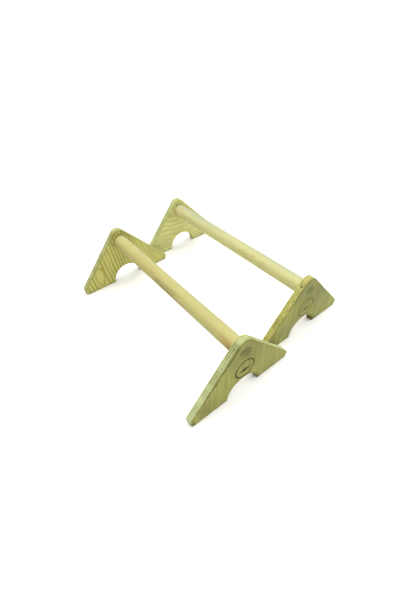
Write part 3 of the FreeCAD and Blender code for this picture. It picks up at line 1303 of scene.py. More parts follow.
@dataclass
class Plate:
    """One plywood end plate: its mesh, materials and the glue round its rail.

    Fields:
        node: CAD node that it replaces.
        body: CAD body that it rides on.
        facing: Which way its outer face looks.
        shape: Outline and section.
        outer_finish: Veneer of the outer face.
        inner_finish: Veneer of the inner face.
        edge_finish: Sawn edges.
        mark: Burnt mark on the outer face, or None.
        pits: Gaps in the core, as (side, distance down that slope, layer, half length, depth).
        soil_and_shade_spots: Dark spots, some of them dirt and some painted shade, as (across, up,
            depth from the outer face, and the spot's size in each of the three, strength).
        arris_dirt: Darkness of the dirty line along the -Y slope, at the outer face's corner and
            at the inner face's.
        seed: Picks the small unevenness.
        nail_hole_radius: Radius of the nail's hole in the sawn edge.
        nail_hole_depth: Depth of that hole.
    """

    node: str
    body: str
    facing: Facing
    shape: PlateShape
    outer_finish: VeneerFinish
    inner_finish: VeneerFinish
    edge_finish: PlyEdgeFinish
    mark: BurntMark | None
    pits: list[tuple[int, float, int, float, float]]
    soil_and_shade_spots: list[tuple[float, ...]]
    arris_dirt: tuple[float, float]
    seed: int
    nail_hole_radius: float = 2.05
    nail_hole_depth: float = 1.95

    def __post_init__(self) -> None:
        """Reads the plate's place from its CAD node."""
        low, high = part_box(self.node)
        self.middle = (low.y + high.y) / 2 / MM
        outer = high.x if self.facing is Facing.RIGHT else low.x
        self.outer_x = outer / MM
        self.nail_side = -self.facing.value

    def _stations(self) -> tuple[np.ndarray, np.ndarray, np.ndarray]:
        """Places along the outline, closer at the nail, the corners and over a marked face.

        Each gathering adds its density within a near distance of its place, fading to none at a
        far one.

        Returns:
            Places, outline points, and outward directions.
        """
        plain_density, foot_middle = 0.62, 14.0
        starts = self.shape.starts()
        period = starts[-1]
        where = np.linspace(0.0, period, OUTLINE_SAMPLES)
        gatherings = [
            (self.shape.nail_place(self.nail_side), 2.6, 4.5, 2.8),
            (starts[8], 1.6, 6.0, 1.5),
            (starts[9], 1.6, 6.0, 1.5),
            (starts[1] + foot_middle, 0.5, 40.0, 14.0),
            (starts[5] + foot_middle, 0.5, 40.0, 14.0),
        ]
        if self.mark:
            gatherings.append(((starts[8] + starts[9]) / 2, 0.95, 66.0, 56.0))
        density = np.full_like(where, plain_density)
        for at, extra, far, near in gatherings:
            density += extra * smooth_step(far, near, np.abs(where - at))
        place = spread_samples(period, MARKED_STATIONS if self.mark else PLAIN_STATIONS, density)
        return place, *self.shape.outline(place)

    def _face_rows(self, rim: np.ndarray, shares: np.ndarray) -> np.ndarray:
        """Points of a flat face, from the eased bore to the rim.

        Lines run from the bore to the rim. Their ends on the bore are spread by the angle that
        each rim point is seen at, made to rise everywhere. Low lines bow outwards, by up to the
        bulge at half way, so that they pass beside the arch.

        Args:
            rim: Outline points of the flat face, stations x 2.
            shares: Shares of the way from the bore to the rim.

        Returns:
            Array shares x stations x 2.
        """
        shape = self.shape
        least_step, corner_away, corner_spread, bow_height = 0.0035, 2.0, 24.0, 40.0
        seen = np.unwrap(np.arctan2(rim[:, 1] - shape.rail_height, rim[:, 0]))
        steps = np.diff(seen, append=seen[0] + FULL_TURN)
        gaps = np.linalg.norm(np.diff(rim, axis=0, append=rim[:1]), axis=1)
        steps = np.maximum(steps, least_step * gaps)
        steps *= FULL_TURN / steps.sum()
        angle = np.cumsum(steps) - steps
        angle += (seen - angle).mean()
        radius = shape.rail_radius + shape.bore_ease
        bore = radius * np.stack([np.cos(angle), np.sin(angle)], axis=1)
        bore[:, 1] += shape.rail_height
        from_corner = np.abs(rim[:, 0]) - shape.arch_radius - corner_away
        near_corner = np.exp(-((from_corner / corner_spread) ** 2))
        low = np.exp(-((rim[:, 1] / bow_height) ** 2))
        bow = shape.bulge * near_corner * low * np.sign(rim[:, 0])
        share = shares[:, None, None]
        rows = bore + share * (rim - bore)
        rows[:, :, 0] += 4 * shares[:, None] * (1 - shares[:, None]) * bow
        return rows

    def _edge_depths(self) -> np.ndarray:
        """Depths at which the sawn edge has points: both sides of each glue line, and between.

        Returns:
            Rising depths, none of them within the roundings and none closer than a least gap.
        """
        in_layer, nail_reach, nail_step, margin, least_gap = 0.9, 2.6, 0.3, 0.1, 0.045
        shape = self.shape
        lines = shape.layer_ends()[:-1]
        outer_lines = np.concatenate([lines[:2], lines[-2:]])
        centre = shape.thickness / 2
        depths = np.sort(np.concatenate([
            *(lines + beside for beside in (-0.16, -0.05, 0.05, 0.16)),
            np.arange(centre - nail_reach, centre + nail_reach + 0.01, nail_step),
            outer_lines - in_layer,
            outer_lines + in_layer,
        ]))
        first = shape.arris_radius + margin
        depths = depths[(depths > first) & (depths < shape.thickness - first)]
        return depths[np.concatenate([[True], np.diff(depths) > least_gap])]

    def _edge_inset(self, place: np.ndarray, depths: np.ndarray) -> tuple[np.ndarray, np.ndarray]:
        """How far the sawn edge lies inside the outline, and where its hollows take painted shade.

        Each layer sits a little in or out by its own slow curve, cross layers lie lower, glue
        lines are fine grooves, core gaps are rounded hollows, and the nail's hole is a steep dip.

        Args:
            place: Places along the outline.
            depths: Depths from the outer face.

        Returns:
            Inset, and where shade is painted in the hollows from 0 to 1, each depths x places.
        """
        shape = self.shape
        period = shape.starts()[-1]
        ends = shape.layer_ends()
        starts = np.concatenate([[0.0], ends[:-1]])
        layer = np.searchsorted(ends[:-1], depths)
        curves = np.stack(
            [wander(place, period, 60, self.seed * 31 + ply) for ply in range(shape.ply_count)]
        )
        least, sway, greatest_sway, cross_drop = 0.09, 0.035, 2.2, 0.07
        groove_depth, groove_width = 0.11, 0.1
        cross = (layer % 2)[:, None]
        curve = np.clip(curves[layer], -greatest_sway, greatest_sway)
        inset = least + sway * curve + cross_drop * cross
        to_line = np.abs(depths[:, None] - ends[None, :-1]).min(1, keepdims=True)
        inset = inset + groove_depth * np.exp(-((to_line / groove_width) ** 2))
        hollow_shade = np.zeros_like(inset)
        for side, down, index, half_length, depth in self.pits:
            away = (place[None, :] - shape.slope_place(side, down)) / half_length
            centre, width = (starts[index] + ends[index]) / 2, ends[index] - starts[index]
            off = (depths[:, None] - centre) / (width * 0.45)
            hollow = smooth_step(1.15, 0.55, np.sqrt(away**2 + off**4))
            inset = inset + depth * hollow
            hollow_shade = np.maximum(hollow_shade, hollow)
        nail = shape.nail_place(self.nail_side)
        round_nail = np.hypot(place[None, :] - nail, depths[:, None] - shape.thickness / 2)
        soft, dish_depth, dish_radius, dish_width = 0.12, 0.12, 2.4, 0.7
        hole = smooth_step(self.nail_hole_radius + soft, self.nail_hole_radius - soft, round_nail)
        dished = dish_depth * np.exp(-(((round_nail - dish_radius) / dish_width) ** 2))
        inset = np.maximum(inset * (1 - hole) + dished, self.nail_hole_depth * hole)
        # The second value marks where shade is painted: core gaps and the nail's hole.
        return inset, np.maximum(hollow_shade, hole)

    def surface(self) -> GridSurface:
        """The whole plate as one closed section carried round the outline.

        The section starts half way through the bore, crosses the outer face, turns round the
        arris, runs over the layers, turns the other arris and comes back over the inner face.

        Returns:
            The closed surface, with its arris and scorch values, painted shade for its hollows, and
            dirt with painted shade.
        """
        shape = self.shape
        ease, radius, thickness = shape.bore_ease, shape.arris_radius, shape.thickness
        place, points, outward = self._stations()
        count = len(place)
        rim = points - outward * (radius + shape.rim_allowance)
        outer_shares = np.linspace(0.0, 1.0, MARKED_ROWS if self.mark else PLAIN_ROWS)
        inner_shares = np.linspace(0.0, 1.0, INNER_ROWS)
        outer_face = self._face_rows(rim, outer_shares)
        inner_face = self._face_rows(rim, inner_shares)
        from_axis = outer_face[0] - [0.0, shape.rail_height]
        spoke = from_axis / np.linalg.norm(from_axis, axis=1)[:, None]
        flat, depth, arris, slots = [], [], [], []

        def bore_ring(extra: float) -> np.ndarray:
            """Ring round the rail's axis, at the rail's radius plus extra."""
            return spoke * (shape.rail_radius + extra) + [0.0, shape.rail_height]

        def rim_wear(shares: np.ndarray) -> list[np.ndarray]:
            """Closeness of a face's rows to its rim: 1 beside it, and 0 from 7 mm away."""
            reach = np.linalg.norm(rim - bore_ring(0), axis=1)
            return list(smooth_step(7.0, 0.5, np.outer(1 - shares, reach)))

        def lay(rows: list, depths: list, worn: list | float, slot: PlatePart) -> None:
            """Adds rows of points to the section.

            Args:
                rows: (across, up) of each row's points.
                depths: Depth of each row from the outer face, one number or one per point.
                worn: Closeness of the rows to an arris, each its own or all the same.
                slot: Material slot.
            """
            worn = worn if isinstance(worn, list) else [worn] * len(rows)
            flat.extend(rows)
            depth.extend(np.broadcast_to(value, count) for value in depths)
            arris.extend(np.broadcast_to(value, count) for value in worn)
            slots.extend([slot.value] * len(rows))

        half_wall = np.linspace(thickness / 2, ease, 4)[:-1]
        other_wall = np.linspace(thickness - ease, thickness / 2, 4)[1:-1]
        wall_ring = bore_ring(shape.bore_allowance)
        mouth = [bore_ring(shape.bore_allowance + ease * (1 - math.cos(a))) for a in MOUTH_TURNS]
        mouth_depth = [ease * (1 - math.sin(a)) for a in MOUTH_TURNS]
        corner = [
            points - outward * (shape.rim_allowance + radius * (1 - math.sin(a)))
            for a in ARRIS_TURNS
        ]
        corner_depth = [shape.face_allowance + radius * (1 - math.cos(a)) for a in ARRIS_TURNS]
        sag, sag_change, sag_waves = 0.03, 0.015, 9
        sway = wander(place, shape.starts()[-1], sag_waves, self.seed + 5)
        wave = sag + sag_change * np.clip(sway, -1.5, 1.5)
        outer_depth = shape.face_allowance + np.outer(np.sin(math.pi * outer_shares), wave)
        inner_depth = shape.face_allowance + np.outer(np.sin(math.pi * inner_shares), wave)
        scorch = np.zeros(outer_depth.shape)
        if self.mark:
            scorch = self.mark.strength(outer_face[:, :, 0], outer_face[:, :, 1])
            outer_depth = outer_depth + self.mark.depth * scorch
        depths = self._edge_depths()
        inset, hollow_shade = self._edge_inset(place, depths)
        sawn_wear = smooth_step(3.4, 1.2, np.minimum(depths, thickness - depths))

        def from_inner(values: list) -> list:
            """Depths measured from the inner face, in reverse order, as depths from the outer."""
            return [thickness - value for value in values[::-1]]

        lay([wall_ring] * len(half_wall), list(half_wall), 0.0, PlatePart.EDGE)
        lay(mouth, mouth_depth, 0.2, PlatePart.OUTER_FACE)
        scorch_first = len(flat)
        lay(list(outer_face), list(outer_depth), rim_wear(outer_shares), PlatePart.OUTER_FACE)
        lay(corner, corner_depth, 1.0, PlatePart.OUTER_FACE)
        pit_first = len(flat)
        sawn = [points - outward * row[:, None] for row in inset]
        lay(sawn, list(depths), list(sawn_wear), PlatePart.EDGE)
        lay(corner[::-1], from_inner(corner_depth), 1.0, PlatePart.INNER_FACE)
        lay(
            list(inner_face[::-1]), from_inner(list(inner_depth)), rim_wear(inner_shares)[::-1],
            PlatePart.INNER_FACE,
        )
        lay(mouth[::-1], from_inner(mouth_depth), 0.2, PlatePart.INNER_FACE)
        lay([wall_ring] * len(other_wall), list(other_wall), 0.0, PlatePart.EDGE)

        plane = np.array(flat)
        deep = np.array(depth)
        rows = len(plane)
        solid = np.empty((rows, count, 3))
        solid[:, :, 0] = self.outer_x - self.facing.value * deep
        solid[:, :, 1] = self.middle + plane[:, :, 0]
        solid[:, :, 2] = plane[:, :, 1]
        all_scorch = np.zeros((rows, count))
        all_scorch[scorch_first:scorch_first + len(scorch)] = scorch
        all_arris = np.array(arris)
        all_hollow_shade = np.zeros((rows, count))
        all_hollow_shade[pit_first:pit_first + len(depths)] = hollow_shade
        return GridSurface(
            points=solid * MM,
            row_slots=np.array(slots),
            rows_close=True,
            flip=self.facing is Facing.RIGHT,
            attributes={
                "arris": all_arris,
                "scorch": all_scorch,
                "hollow_shade": all_hollow_shade,
                "soil_and_shade": self._soil_and_shade(place, plane, deep, all_arris),
            },
        )

    def _soil_and_shade(
        self, place: np.ndarray, plane: np.ndarray, deep: np.ndarray, arris: np.ndarray
    ) -> np.ndarray:
        """Dirt and painted shade: bell-shaped spots of either, a line along the sole that paints its
        contact shadow, and a dirty line along the arris.

        Args:
            place: Places along the outline, one per column.
            plane: (across, up) of each point.
            deep: Depth of each point from the outer face.
            arris: Closeness of each point to the arris.

        Returns:
            Values from 0 to 1, in the same grid.
        """
        shape = self.shape
        starts = shape.starts()
        middle, change, waves, sole_shadow = 0.62, 0.38, 40, 0.7
        across, up = plane[:, :, 0], plane[:, :, 1]
        curve = np.clip(wander(place, starts[-1], waves, self.seed + 17), -1.2, 1.0)
        ragged = middle + change * curve
        on_slope = smooth_step(starts[4] - 16.0, starts[4] + 6.0, place)
        on_slope *= smooth_step(starts[5] + 14.0, starts[5] + 2.0, place)
        outer, inner = self.arris_dirt
        fade = (4.5, 2.2)
        near = outer * smooth_step(*fade, deep)
        near = near + inner * smooth_step(*fade, shape.thickness - deep)
        line = near * arris**3 * (on_slope * ragged)
        # The line along the sole paints the contact shadow where the plate meets the floor.
        soil_and_shade = np.maximum(line, sole_shadow * smooth_step(3.6, 0.6, up) * ragged)
        for at, high, depth, wide, tall, thick, strength in self.soil_and_shade_spots:
            reach = ((across - at) / wide) ** 2 + ((up - high) / tall) ** 2
            reach = reach + ((deep - depth) / thick) ** 2
            soil_and_shade = np.maximum(soil_and_shade, strength * np.exp(-reach))
        return soil_and_shade

    def build(self, groups: Groups, glue: bpy.types.Material) -> list[bpy.types.Object]:
        """Makes the plate and its two glue rings.

        Args:
            groups: Shared node groups.
            glue: Material of the glue.

        Returns:
            The pieces made.
        """
        outward = self.facing.value
        materials = [
            self.outer_finish.material(f"{self.node}_outer_veneer", self.middle, groups),
            self.edge_finish.material(
                f"{self.node}_layers", self.outer_x, outward, self.shape, groups
            ),
            self.inner_finish.material(f"{self.node}_inner_veneer", self.middle, groups),
        ]
        plate = self.surface().build(f"{self.node}_plywood", materials)
        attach(plate, self.body)
        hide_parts(self.node)
        pieces = [plate]
        for end, depth, inwards in (("outer", 0.0, 1), ("inner", self.shape.thickness, -1)):
            ring = self._glue_ring(depth, inwards).build(f"{self.node}_{end}_glue", [glue])
            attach(ring, self.body)
            pieces.append(ring)
        return pieces

    def _glue_ring(self, depth: float, inwards: int) -> GridSurface:
        """Glue that fills the eased mouth of the bore: a small hollow-faced ring.

        Args:
            depth: Depth of the face that the ring shows at.
            inwards: 1 if depth grows into the plate from there, else -1.

        Returns:
            The ring's surface.
        """
        shape = self.shape
        angle = np.linspace(0.0, FULL_TURN, 121)[:-1]
        level = wander(angle, FULL_TURN, 14, self.seed * 7 + int(depth))
        mean_fill, fill_change, sunk = 0.2, 0.07, 0.02
        fill = mean_fill + fill_change * np.clip(level, -1.5, 1.5)
        section = [
            (0.0, fill * 0.75),
            (0.12, fill),
            (0.3, fill * 0.85),
            (0.42, fill * 0.72 + 0.02),
            (0.3, np.full_like(fill, 0.62)),
            (0.0, np.full_like(fill, 0.9)),
        ]
        radius = np.array(
            [np.full_like(angle, shape.rail_radius - sunk + out) for out, _ in section]
        )
        down = np.array([sink for _, sink in section])
        points = np.empty((len(section), len(angle), 3))
        points[:, :, 0] = self.outer_x - self.facing.value * (depth + inwards * down)
        points[:, :, 1] = self.middle + radius * np.cos(angle)
        points[:, :, 2] = shape.rail_height + radius * np.sin(angle)
        faces_out = (self.facing.value * inwards) > 0
        return GridSurface(
            points=points * MM,
            row_slots=np.zeros(len(section), int),
            rows_close=True,
            flip=faces_out,
        )


# ---------------------------------------------------------------------------------------------
# Rail
# ---------------------------------------------------------------------------------------------


@dataclass
class Rail:
    """One round rail.

    Fields:
        node: CAD node that it replaces.
        body: CAD body that it rides on.
        finish: Wood of the bar.
        blushes: Warm patches, as (X, angle in degrees from +Y, length, width in degrees, strength).
        stains_and_shade: Brown streaks and specks, in the same form. The long streaks on the front
            bar's -Y side, between 140 and 179 degrees, paint shade; the rear bar's small specks are
            real.
        top_light_bands: Bands along the bar's upper side where a cool tint is painted as light and
            shade from above, in the same form.
        seed: Picks the small unevenness.
        columns: Points round the bar.
        end_ease: Rounding at the bar's ends, in millimetres.
        turning_waves: Number of waves added up in the bar's unevenness.
        allowance: How far the surface lies inside the CAD radius, in millimetres.
    """

    node: str
    body: str
    finish: RailFinish
    blushes: list[tuple[float, float, float, float, float]]
    stains_and_shade: list[tuple[float, float, float, float, float]]
    top_light_bands: list[tuple[float, float, float, float, float]]
    seed: int
    columns: int = 128
    end_ease: float = 0.3
    turning_waves: int = 5
    allowance: float = 0.06

    def __post_init__(self) -> None:
        """Reads the rail's place and size from its CAD node."""
        low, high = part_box(self.node)
        self.left, self.right = low.x / MM, high.x / MM
        self.axis = ((low.y + high.y) / 2 / MM, (low.z + high.z) / 2 / MM)
        self.radius = (high.z - low.z) / 2 / MM

    @staticmethod
    def _painted(
        along: np.ndarray, angle: np.ndarray, spots: list[tuple[float, ...]]
    ) -> np.ndarray:
        """Strength of soft oval spots: each is a bell curve of its scaled distance.

        Args:
            along: X of each point.
            angle: Angle of each point round the axis, in degrees.
            spots: Spots as (X, angle, length, width in degrees, strength).

        Returns:
            The strongest spot at each point, from 0 to 1.
        """
        value = np.zeros(np.broadcast(along, angle).shape)
        for x, turn, length, width, strength in spots:
            away = (angle - turn + 180.0) % 360.0 - 180.0
            bell = np.exp(-(((along - x) / length) ** 2) - (away / width) ** 2)
            value = np.maximum(value, strength * bell)
        return value

    def surface(self) -> GridSurface:
        """A circle carried along the bar, with eased ends and a flat cap of rings at each end.

        Its radius is the CAD radius less a small allowance: a slow bow, faint flats left by
        sanding, and the ease at the ends.

        Returns:
            The closed surface, with its blush values, its brown streak values that are partly painted
            shade, and its painted top light values.
        """
        angle = np.linspace(0.0, FULL_TURN, self.columns + 1)[:-1]
        core_share, cap_rings, body_rows = 0.06, 14, 224
        full_radius = self.radius - self.allowance
        cap = np.linspace(core_share, 1.0, cap_rings)[:-1] * (full_radius - self.end_ease)
        bend = np.linspace(0.0, math.pi / 2, 5)
        ease_radius = full_radius - self.end_ease * (1 - np.sin(bend))
        ease_along = self.end_ease * (1 - np.cos(bend))
        length = self.right - self.left
        body = np.linspace(self.end_ease, length - self.end_ease, body_rows)[1:-1]
        radius = np.concatenate(
            [cap, ease_radius, np.full(len(body), full_radius), ease_radius[::-1], cap[::-1]]
        )
        ends = np.zeros(len(cap))
        along = np.concatenate(
            [ends, ease_along, body, length - ease_along[::-1], ends + length]
        )
        row = np.arange(len(radius))
        on_cap = (row < len(cap)) | (row >= len(radius) - len(cap) - 1)
        slots = np.where(on_cap, RailPart.END.value, RailPart.SIDE.value)
        share = along / length
        swell = np.zeros((len(radius), self.columns))
        draw = np.random.default_rng(self.seed)
        for _ in range(self.turning_waves):
            turns, waves = draw.integers(2, 9), draw.uniform(0.5, 5.0)
            phase, drift = draw.uniform(0.0, FULL_TURN, 2)
            bent = drift * np.sin(waves * share)[:, None]
            swell += np.cos(turns * angle[None, :] + phase + bent)
        dent_depth, side_share, cap_depth, cap_relief, cap_lobes = 0.035, 0.9, 0.04, 0.009, 3
        full = (radius > self.radius * side_share)[:, None]
        out = radius[:, None] - dent_depth * (1 + swell / self.turning_waves) * full
        lobes = np.abs(np.sin(angle * cap_lobes + self.seed))[None, :]
        end_relief = cap_relief * (1 - full) * lobes
        inward = np.where(along < length / 2, 1.0, -1.0)[:, None]
        points = np.empty((len(radius), self.columns, 3))
        points[:, :, 0] = self.left + along[:, None] + inward * (cap_depth + end_relief)
        points[:, :, 1] = self.axis[0] + out * np.cos(angle)
        points[:, :, 2] = self.axis[1] + out * np.sin(angle)
        degrees = np.degrees(angle)[None, :]
        where = (self.left + along)[:, None]
        return GridSurface(
            points=points * MM,
            row_slots=slots,
            rows_close=False,
            attributes={
                "blush": self._painted(where, degrees, self.blushes),
                "stain_and_shade": self._painted(where, degrees, self.stains_and_shade),
                "top_light_tint": self._painted(where, degrees, self.top_light_bands),
            },
        )

    def build(self, groups: Groups) -> bpy.types.Object:
        """Makes the rail.

        Args:
            groups: Shared node groups.

        Returns:
            The piece.
        """
        materials = [
            self.finish.material(f"{self.node}_{part.name.lower()}", self.axis, part, groups)
            for part in RailPart
        ]
        rail = self.surface().build(f"{self.node}_bar", materials)
        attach(rail, self.body)
        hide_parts(self.node)
        return rail


# ---------------------------------------------------------------------------------------------
# Stand and studio
# ---------------------------------------------------------------------------------------------


@dataclass
class Stand:
    """One stand: a rail, two plates with their glue, and two nails.

    Fields:
        name: front or rear.
        plates: The two plates.
        rail: The rail.
        steel: Material of the nails.
    """

    name: str
    plates: list[Plate]
    rail: Rail
    steel: bpy.types.Material

    def build(self, groups: Groups, glue: bpy.types.Material) -> None:
        """Makes every piece of the stand and dresses its nails.

        Args:
            groups: Shared node groups.
            glue: Material of the glue.
        """
        pieces = [self.rail.build(groups)]
        for plate in self.plates:
            pieces += plate.build(groups, glue)
        for piece in pieces:
            LOG.info("%s: %d faces", piece.name, len(piece.data.polygons))
        for end in ("right", "left"):
            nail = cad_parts[f"{self.name}_{end}_nail"]
            nail.data.materials.clear()
            nail.data.materials.append(self.steel)
            LOG.info("%s: dressed", nail.name)


@dataclass
class Studio:
    """Pale floor, soft lights and the camera.

    Fields:
        camera_place: Camera position in metres.
        camera_aim: Point that the camera looks at.
        camera_roll: Turn about the line of sight, in degrees.
        lens: Focal length in millimetres.
        sensor: Long side of the picture's area behind the lens, in millimetres.
    """

    camera_place: tuple[float, float, float] = (0.55244, -0.40177, 0.63877)
    camera_aim: tuple[float, float, float] = (0.05908, -0.05383, 0.065)
    camera_roll: float = -3.803
    lens: float = 19.169
    sensor: float = 36.0

    def floor(self) -> bpy.types.Object:
        """Large flat floor just under the feet, matt and nearly white.

        Returns:
            The floor.
        """
        reach, drop = 60.0, 0.0002
        mesh = bpy.data.meshes.new("floor")
        corners = [(x * reach, y * reach, -drop) for x, y in ((-1, -1), (1, -1), (1, 1), (-1, 1))]
        mesh.from_pydata(corners, [], [(0, 1, 2, 3)])
        build = MaterialNodes("studio_floor")
        clouds = build.noise(build.source("TexCoord", "Object"), scale=1.5)
        tone = build.step(clouds, 0.2, 0.8, 0.93, 0.95)
        mesh.materials.append(build.finish(build.combine(tone, tone, tone), 0.8, shine=0.35))
        floor = bpy.data.objects.new("studio_floor", mesh)
        bpy.context.scene.collection.objects.link(floor)
        return floor

    @staticmethod
    def soft_sun(
        name: str,
        source: tuple[float, float, float],
        spread: float,
        strength: float,
        colour: Colour,
    ) -> None:
        """Very wide soft light, the same everywhere on the floor.

        Args:
            name: Light name.
            source: Direction it comes from.
            spread: Width of the source as seen from the floor, in degrees.
            strength: Light strength.
            colour: Light colour.
        """
        data = bpy.data.lights.new(name, "SUN")
        data.angle = math.radians(spread)
        data.energy = strength
        data.color = colour
        light = bpy.data.objects.new(name, data)
        light.rotation_euler = (-Vector(source)).to_track_quat("-Z", "Y").to_euler()
        bpy.context.scene.collection.objects.link(light)

    def lights(self) -> None:
        """Overhead softbox, and a pale surround that is brightest near the floor."""
        self.soft_sun(
            "overhead_softbox", source=(-0.04, 0.1, 1.0), spread=72.0, strength=4.1,
            colour=(1.0, 0.99, 0.965),
        )
        world = bpy.data.worlds.new("studio_surround")
        world.use_nodes = True
        build = Nodes(world.node_tree)
        height = build.split(build.source("TexCoord", "Generated"))[2]
        background = world.node_tree.nodes["Background"]
        background.inputs["Color"].default_value = (0.96, 0.985, 1.0, 1.0)
        bright, dim = 1.1, 0.3
        seen = build.source("LightPath", "Is Camera Ray") * bright
        glow = build.step(height, 0.03, 0.08, bright, dim)
        build.feed(background.inputs["Strength"], build.math("MAXIMUM", seen, glow))
        bpy.context.scene.world = world

    def camera(self) -> None:
        """Camera that looks at its aim point, turned by its roll."""
        data = bpy.data.cameras.new("studio_camera")
        data.sensor_width = self.sensor
        data.lens = self.lens
        data.clip_start = 0.01
        camera = bpy.data.objects.new("studio_camera", data)
        towards = Vector(self.camera_aim) - Vector(self.camera_place)
        turn = towards.to_track_quat("-Z", "Y").to_matrix().to_4x4()
        roll = Matrix.Rotation(math.radians(self.camera_roll), 4, "Z")
        camera.matrix_world = Matrix.Translation(self.camera_place) @ turn @ roll
        bpy.context.scene.collection.objects.link(camera)
        bpy.context.scene.camera = camera

    def build(self) -> None:
        """Makes the floor, the lights and the camera, with plain colour handling."""
        self.floor()
        self.lights()
        self.camera()
        bpy.context.scene.view_settings.view_transform = "Standard"
        bpy.context.scene.view_settings.look = "None"


# ---------------------------------------------------------------------------------------------
# The pair
# ---------------------------------------------------------------------------------------------


def plate_shape(node: str, rail_node: str) -> PlateShape:
    """Plate sizes read from the CAD nodes' boxes.

    Args:
        node: Plate node.
        rail_node: Rail node of the same stand.

    Returns:
        The shape, in millimetres.
    """
    low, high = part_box(node)
    rail_low, rail_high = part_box(rail_node)
    return PlateShape(
        base_length=(high.y - low.y) / MM,
        height=high.z / MM,
        thickness=(high.x - low.x) / MM,
        rail_radius=(rail_high.z - rail_low.z) / 2 / MM,
        rail_height=(rail_high.z + rail_low.z) / 2 / MM,
    )


def veneers() -> dict[str, VeneerFinish]:
    """The eight face veneers.

    Returns:
        Finishes by plate and face.
    """
    close = dict(
        figure_strength=0.35, fibre_strength=0.17, ring_width=5.0, stretch=22.0, waviness=3.0,
        grain_turn=1.0, arris=(0.2, 0.185, 0.05),
    )
    olive = dict(early=(0.378, 0.38, 0.106), late=(0.21, 0.198, 0.045))
    bold = dict(
        early=(0.585, 0.565, 0.195), late=(0.325, 0.29, 0.063), figure_strength=0.72,
        fibre_strength=0.07, ring_width=8.6, stretch=2.2, waviness=8.0, grain_turn=3.0,
        arris=(0.36, 0.35, 0.12),
    )
    level = dict(
        early=(0.63, 0.625, 0.262), late=(0.43, 0.4, 0.122), figure_strength=0.5,
        fibre_strength=0.06, ring_width=14.0, stretch=2.0, waviness=20.0, grain_turn=96.0,
        arris=(0.6, 0.58, 0.17),
    )
    far = (400.0, 400.0)
    return {
        "front_right_outer": VeneerFinish(
            centre=(-160.0, 60.0), second_centre=(190.0, 90.0), seed=1.3,
            blotch=(0.28, 0.27, 0.085), blotch_strength=0.35, **olive, **close,
        ),
        "front_right_inner": VeneerFinish(
            centre=(-150.0, 160.0), second_centre=(60.0, 40.0), second_start=190.0, seed=2.9,
            **bold,
        ),
        "front_left_inner": VeneerFinish(
            centre=(205.0, 190.0), second_centre=(-88.0, 43.0), second_start=273.4, seed=4.1,
            plain=(112.0, 32.0, 150.0), plain_strength=0.45, crowding=0.5,
            **{**bold, "early": (0.54, 0.524, 0.17), "figure_strength": 0.9, "ring_width": 5.0,
               "waviness": 6.0, "stretch": 2.4},
        ),
        "front_left_outer": VeneerFinish(
            centre=(-150.0, 40.0), second_centre=(170.0, 90.0), seed=5.7, **olive, **close
        ),
        "rear_right_outer": VeneerFinish(
            centre=(120.0, 60.0), second_centre=(-150.0, 50.0), seed=6.2,
            blotch=(0.27, 0.277, 0.108), blotch_strength=0.75, **olive, **close,
        ),
        "rear_right_inner": VeneerFinish(
            centre=(-30.0, -20.0), second_centre=far, seed=7.7, **level
        ),
        "rear_left_inner": VeneerFinish(
            centre=(40.0, 160.0), second_centre=far, seed=8.4, plain=(-110.0, 4.0, 95.0),
            **level,
        ),
        "rear_left_outer": VeneerFinish(
            centre=(150.0, 150.0), second_centre=(-60.0, 40.0), second_start=200.0, seed=9.8,
            **bold,
        ),
    }


def edges() -> dict[str, PlyEdgeFinish]:
    """The four plates' sawn edges.

    Returns:
        Finishes by plate.
    """
    green = PlyEdgeFinish(
        along_cut=(0.52, 0.56, 0.27), across_cut=(0.215, 0.225, 0.06), glue=(0.12, 0.115, 0.03),
        contrast=0.95, foot=(0.62, 0.68, 0.39), foot_share=0.34, torn=0.35, seed=0.4,
    )
    return {
        "front_right": green,
        "front_left": replace(
            green, along_cut=(0.43, 0.45, 0.18), contrast=0.5, foot_share=0.0, seed=1.9
        ),
        "rear_right": PlyEdgeFinish(
            along_cut=(0.53, 0.505, 0.165), across_cut=(0.31, 0.285, 0.06),
            glue=(0.17, 0.145, 0.03), contrast=0.7, foot=(0.34, 0.315, 0.075), foot_share=0.5,
            torn=0.9, seed=3.1,
        ),
        "rear_left": replace(
            green, along_cut=(0.5, 0.53, 0.225), contrast=0.5, foot_share=0.2, seed=4.6
        ),
    }


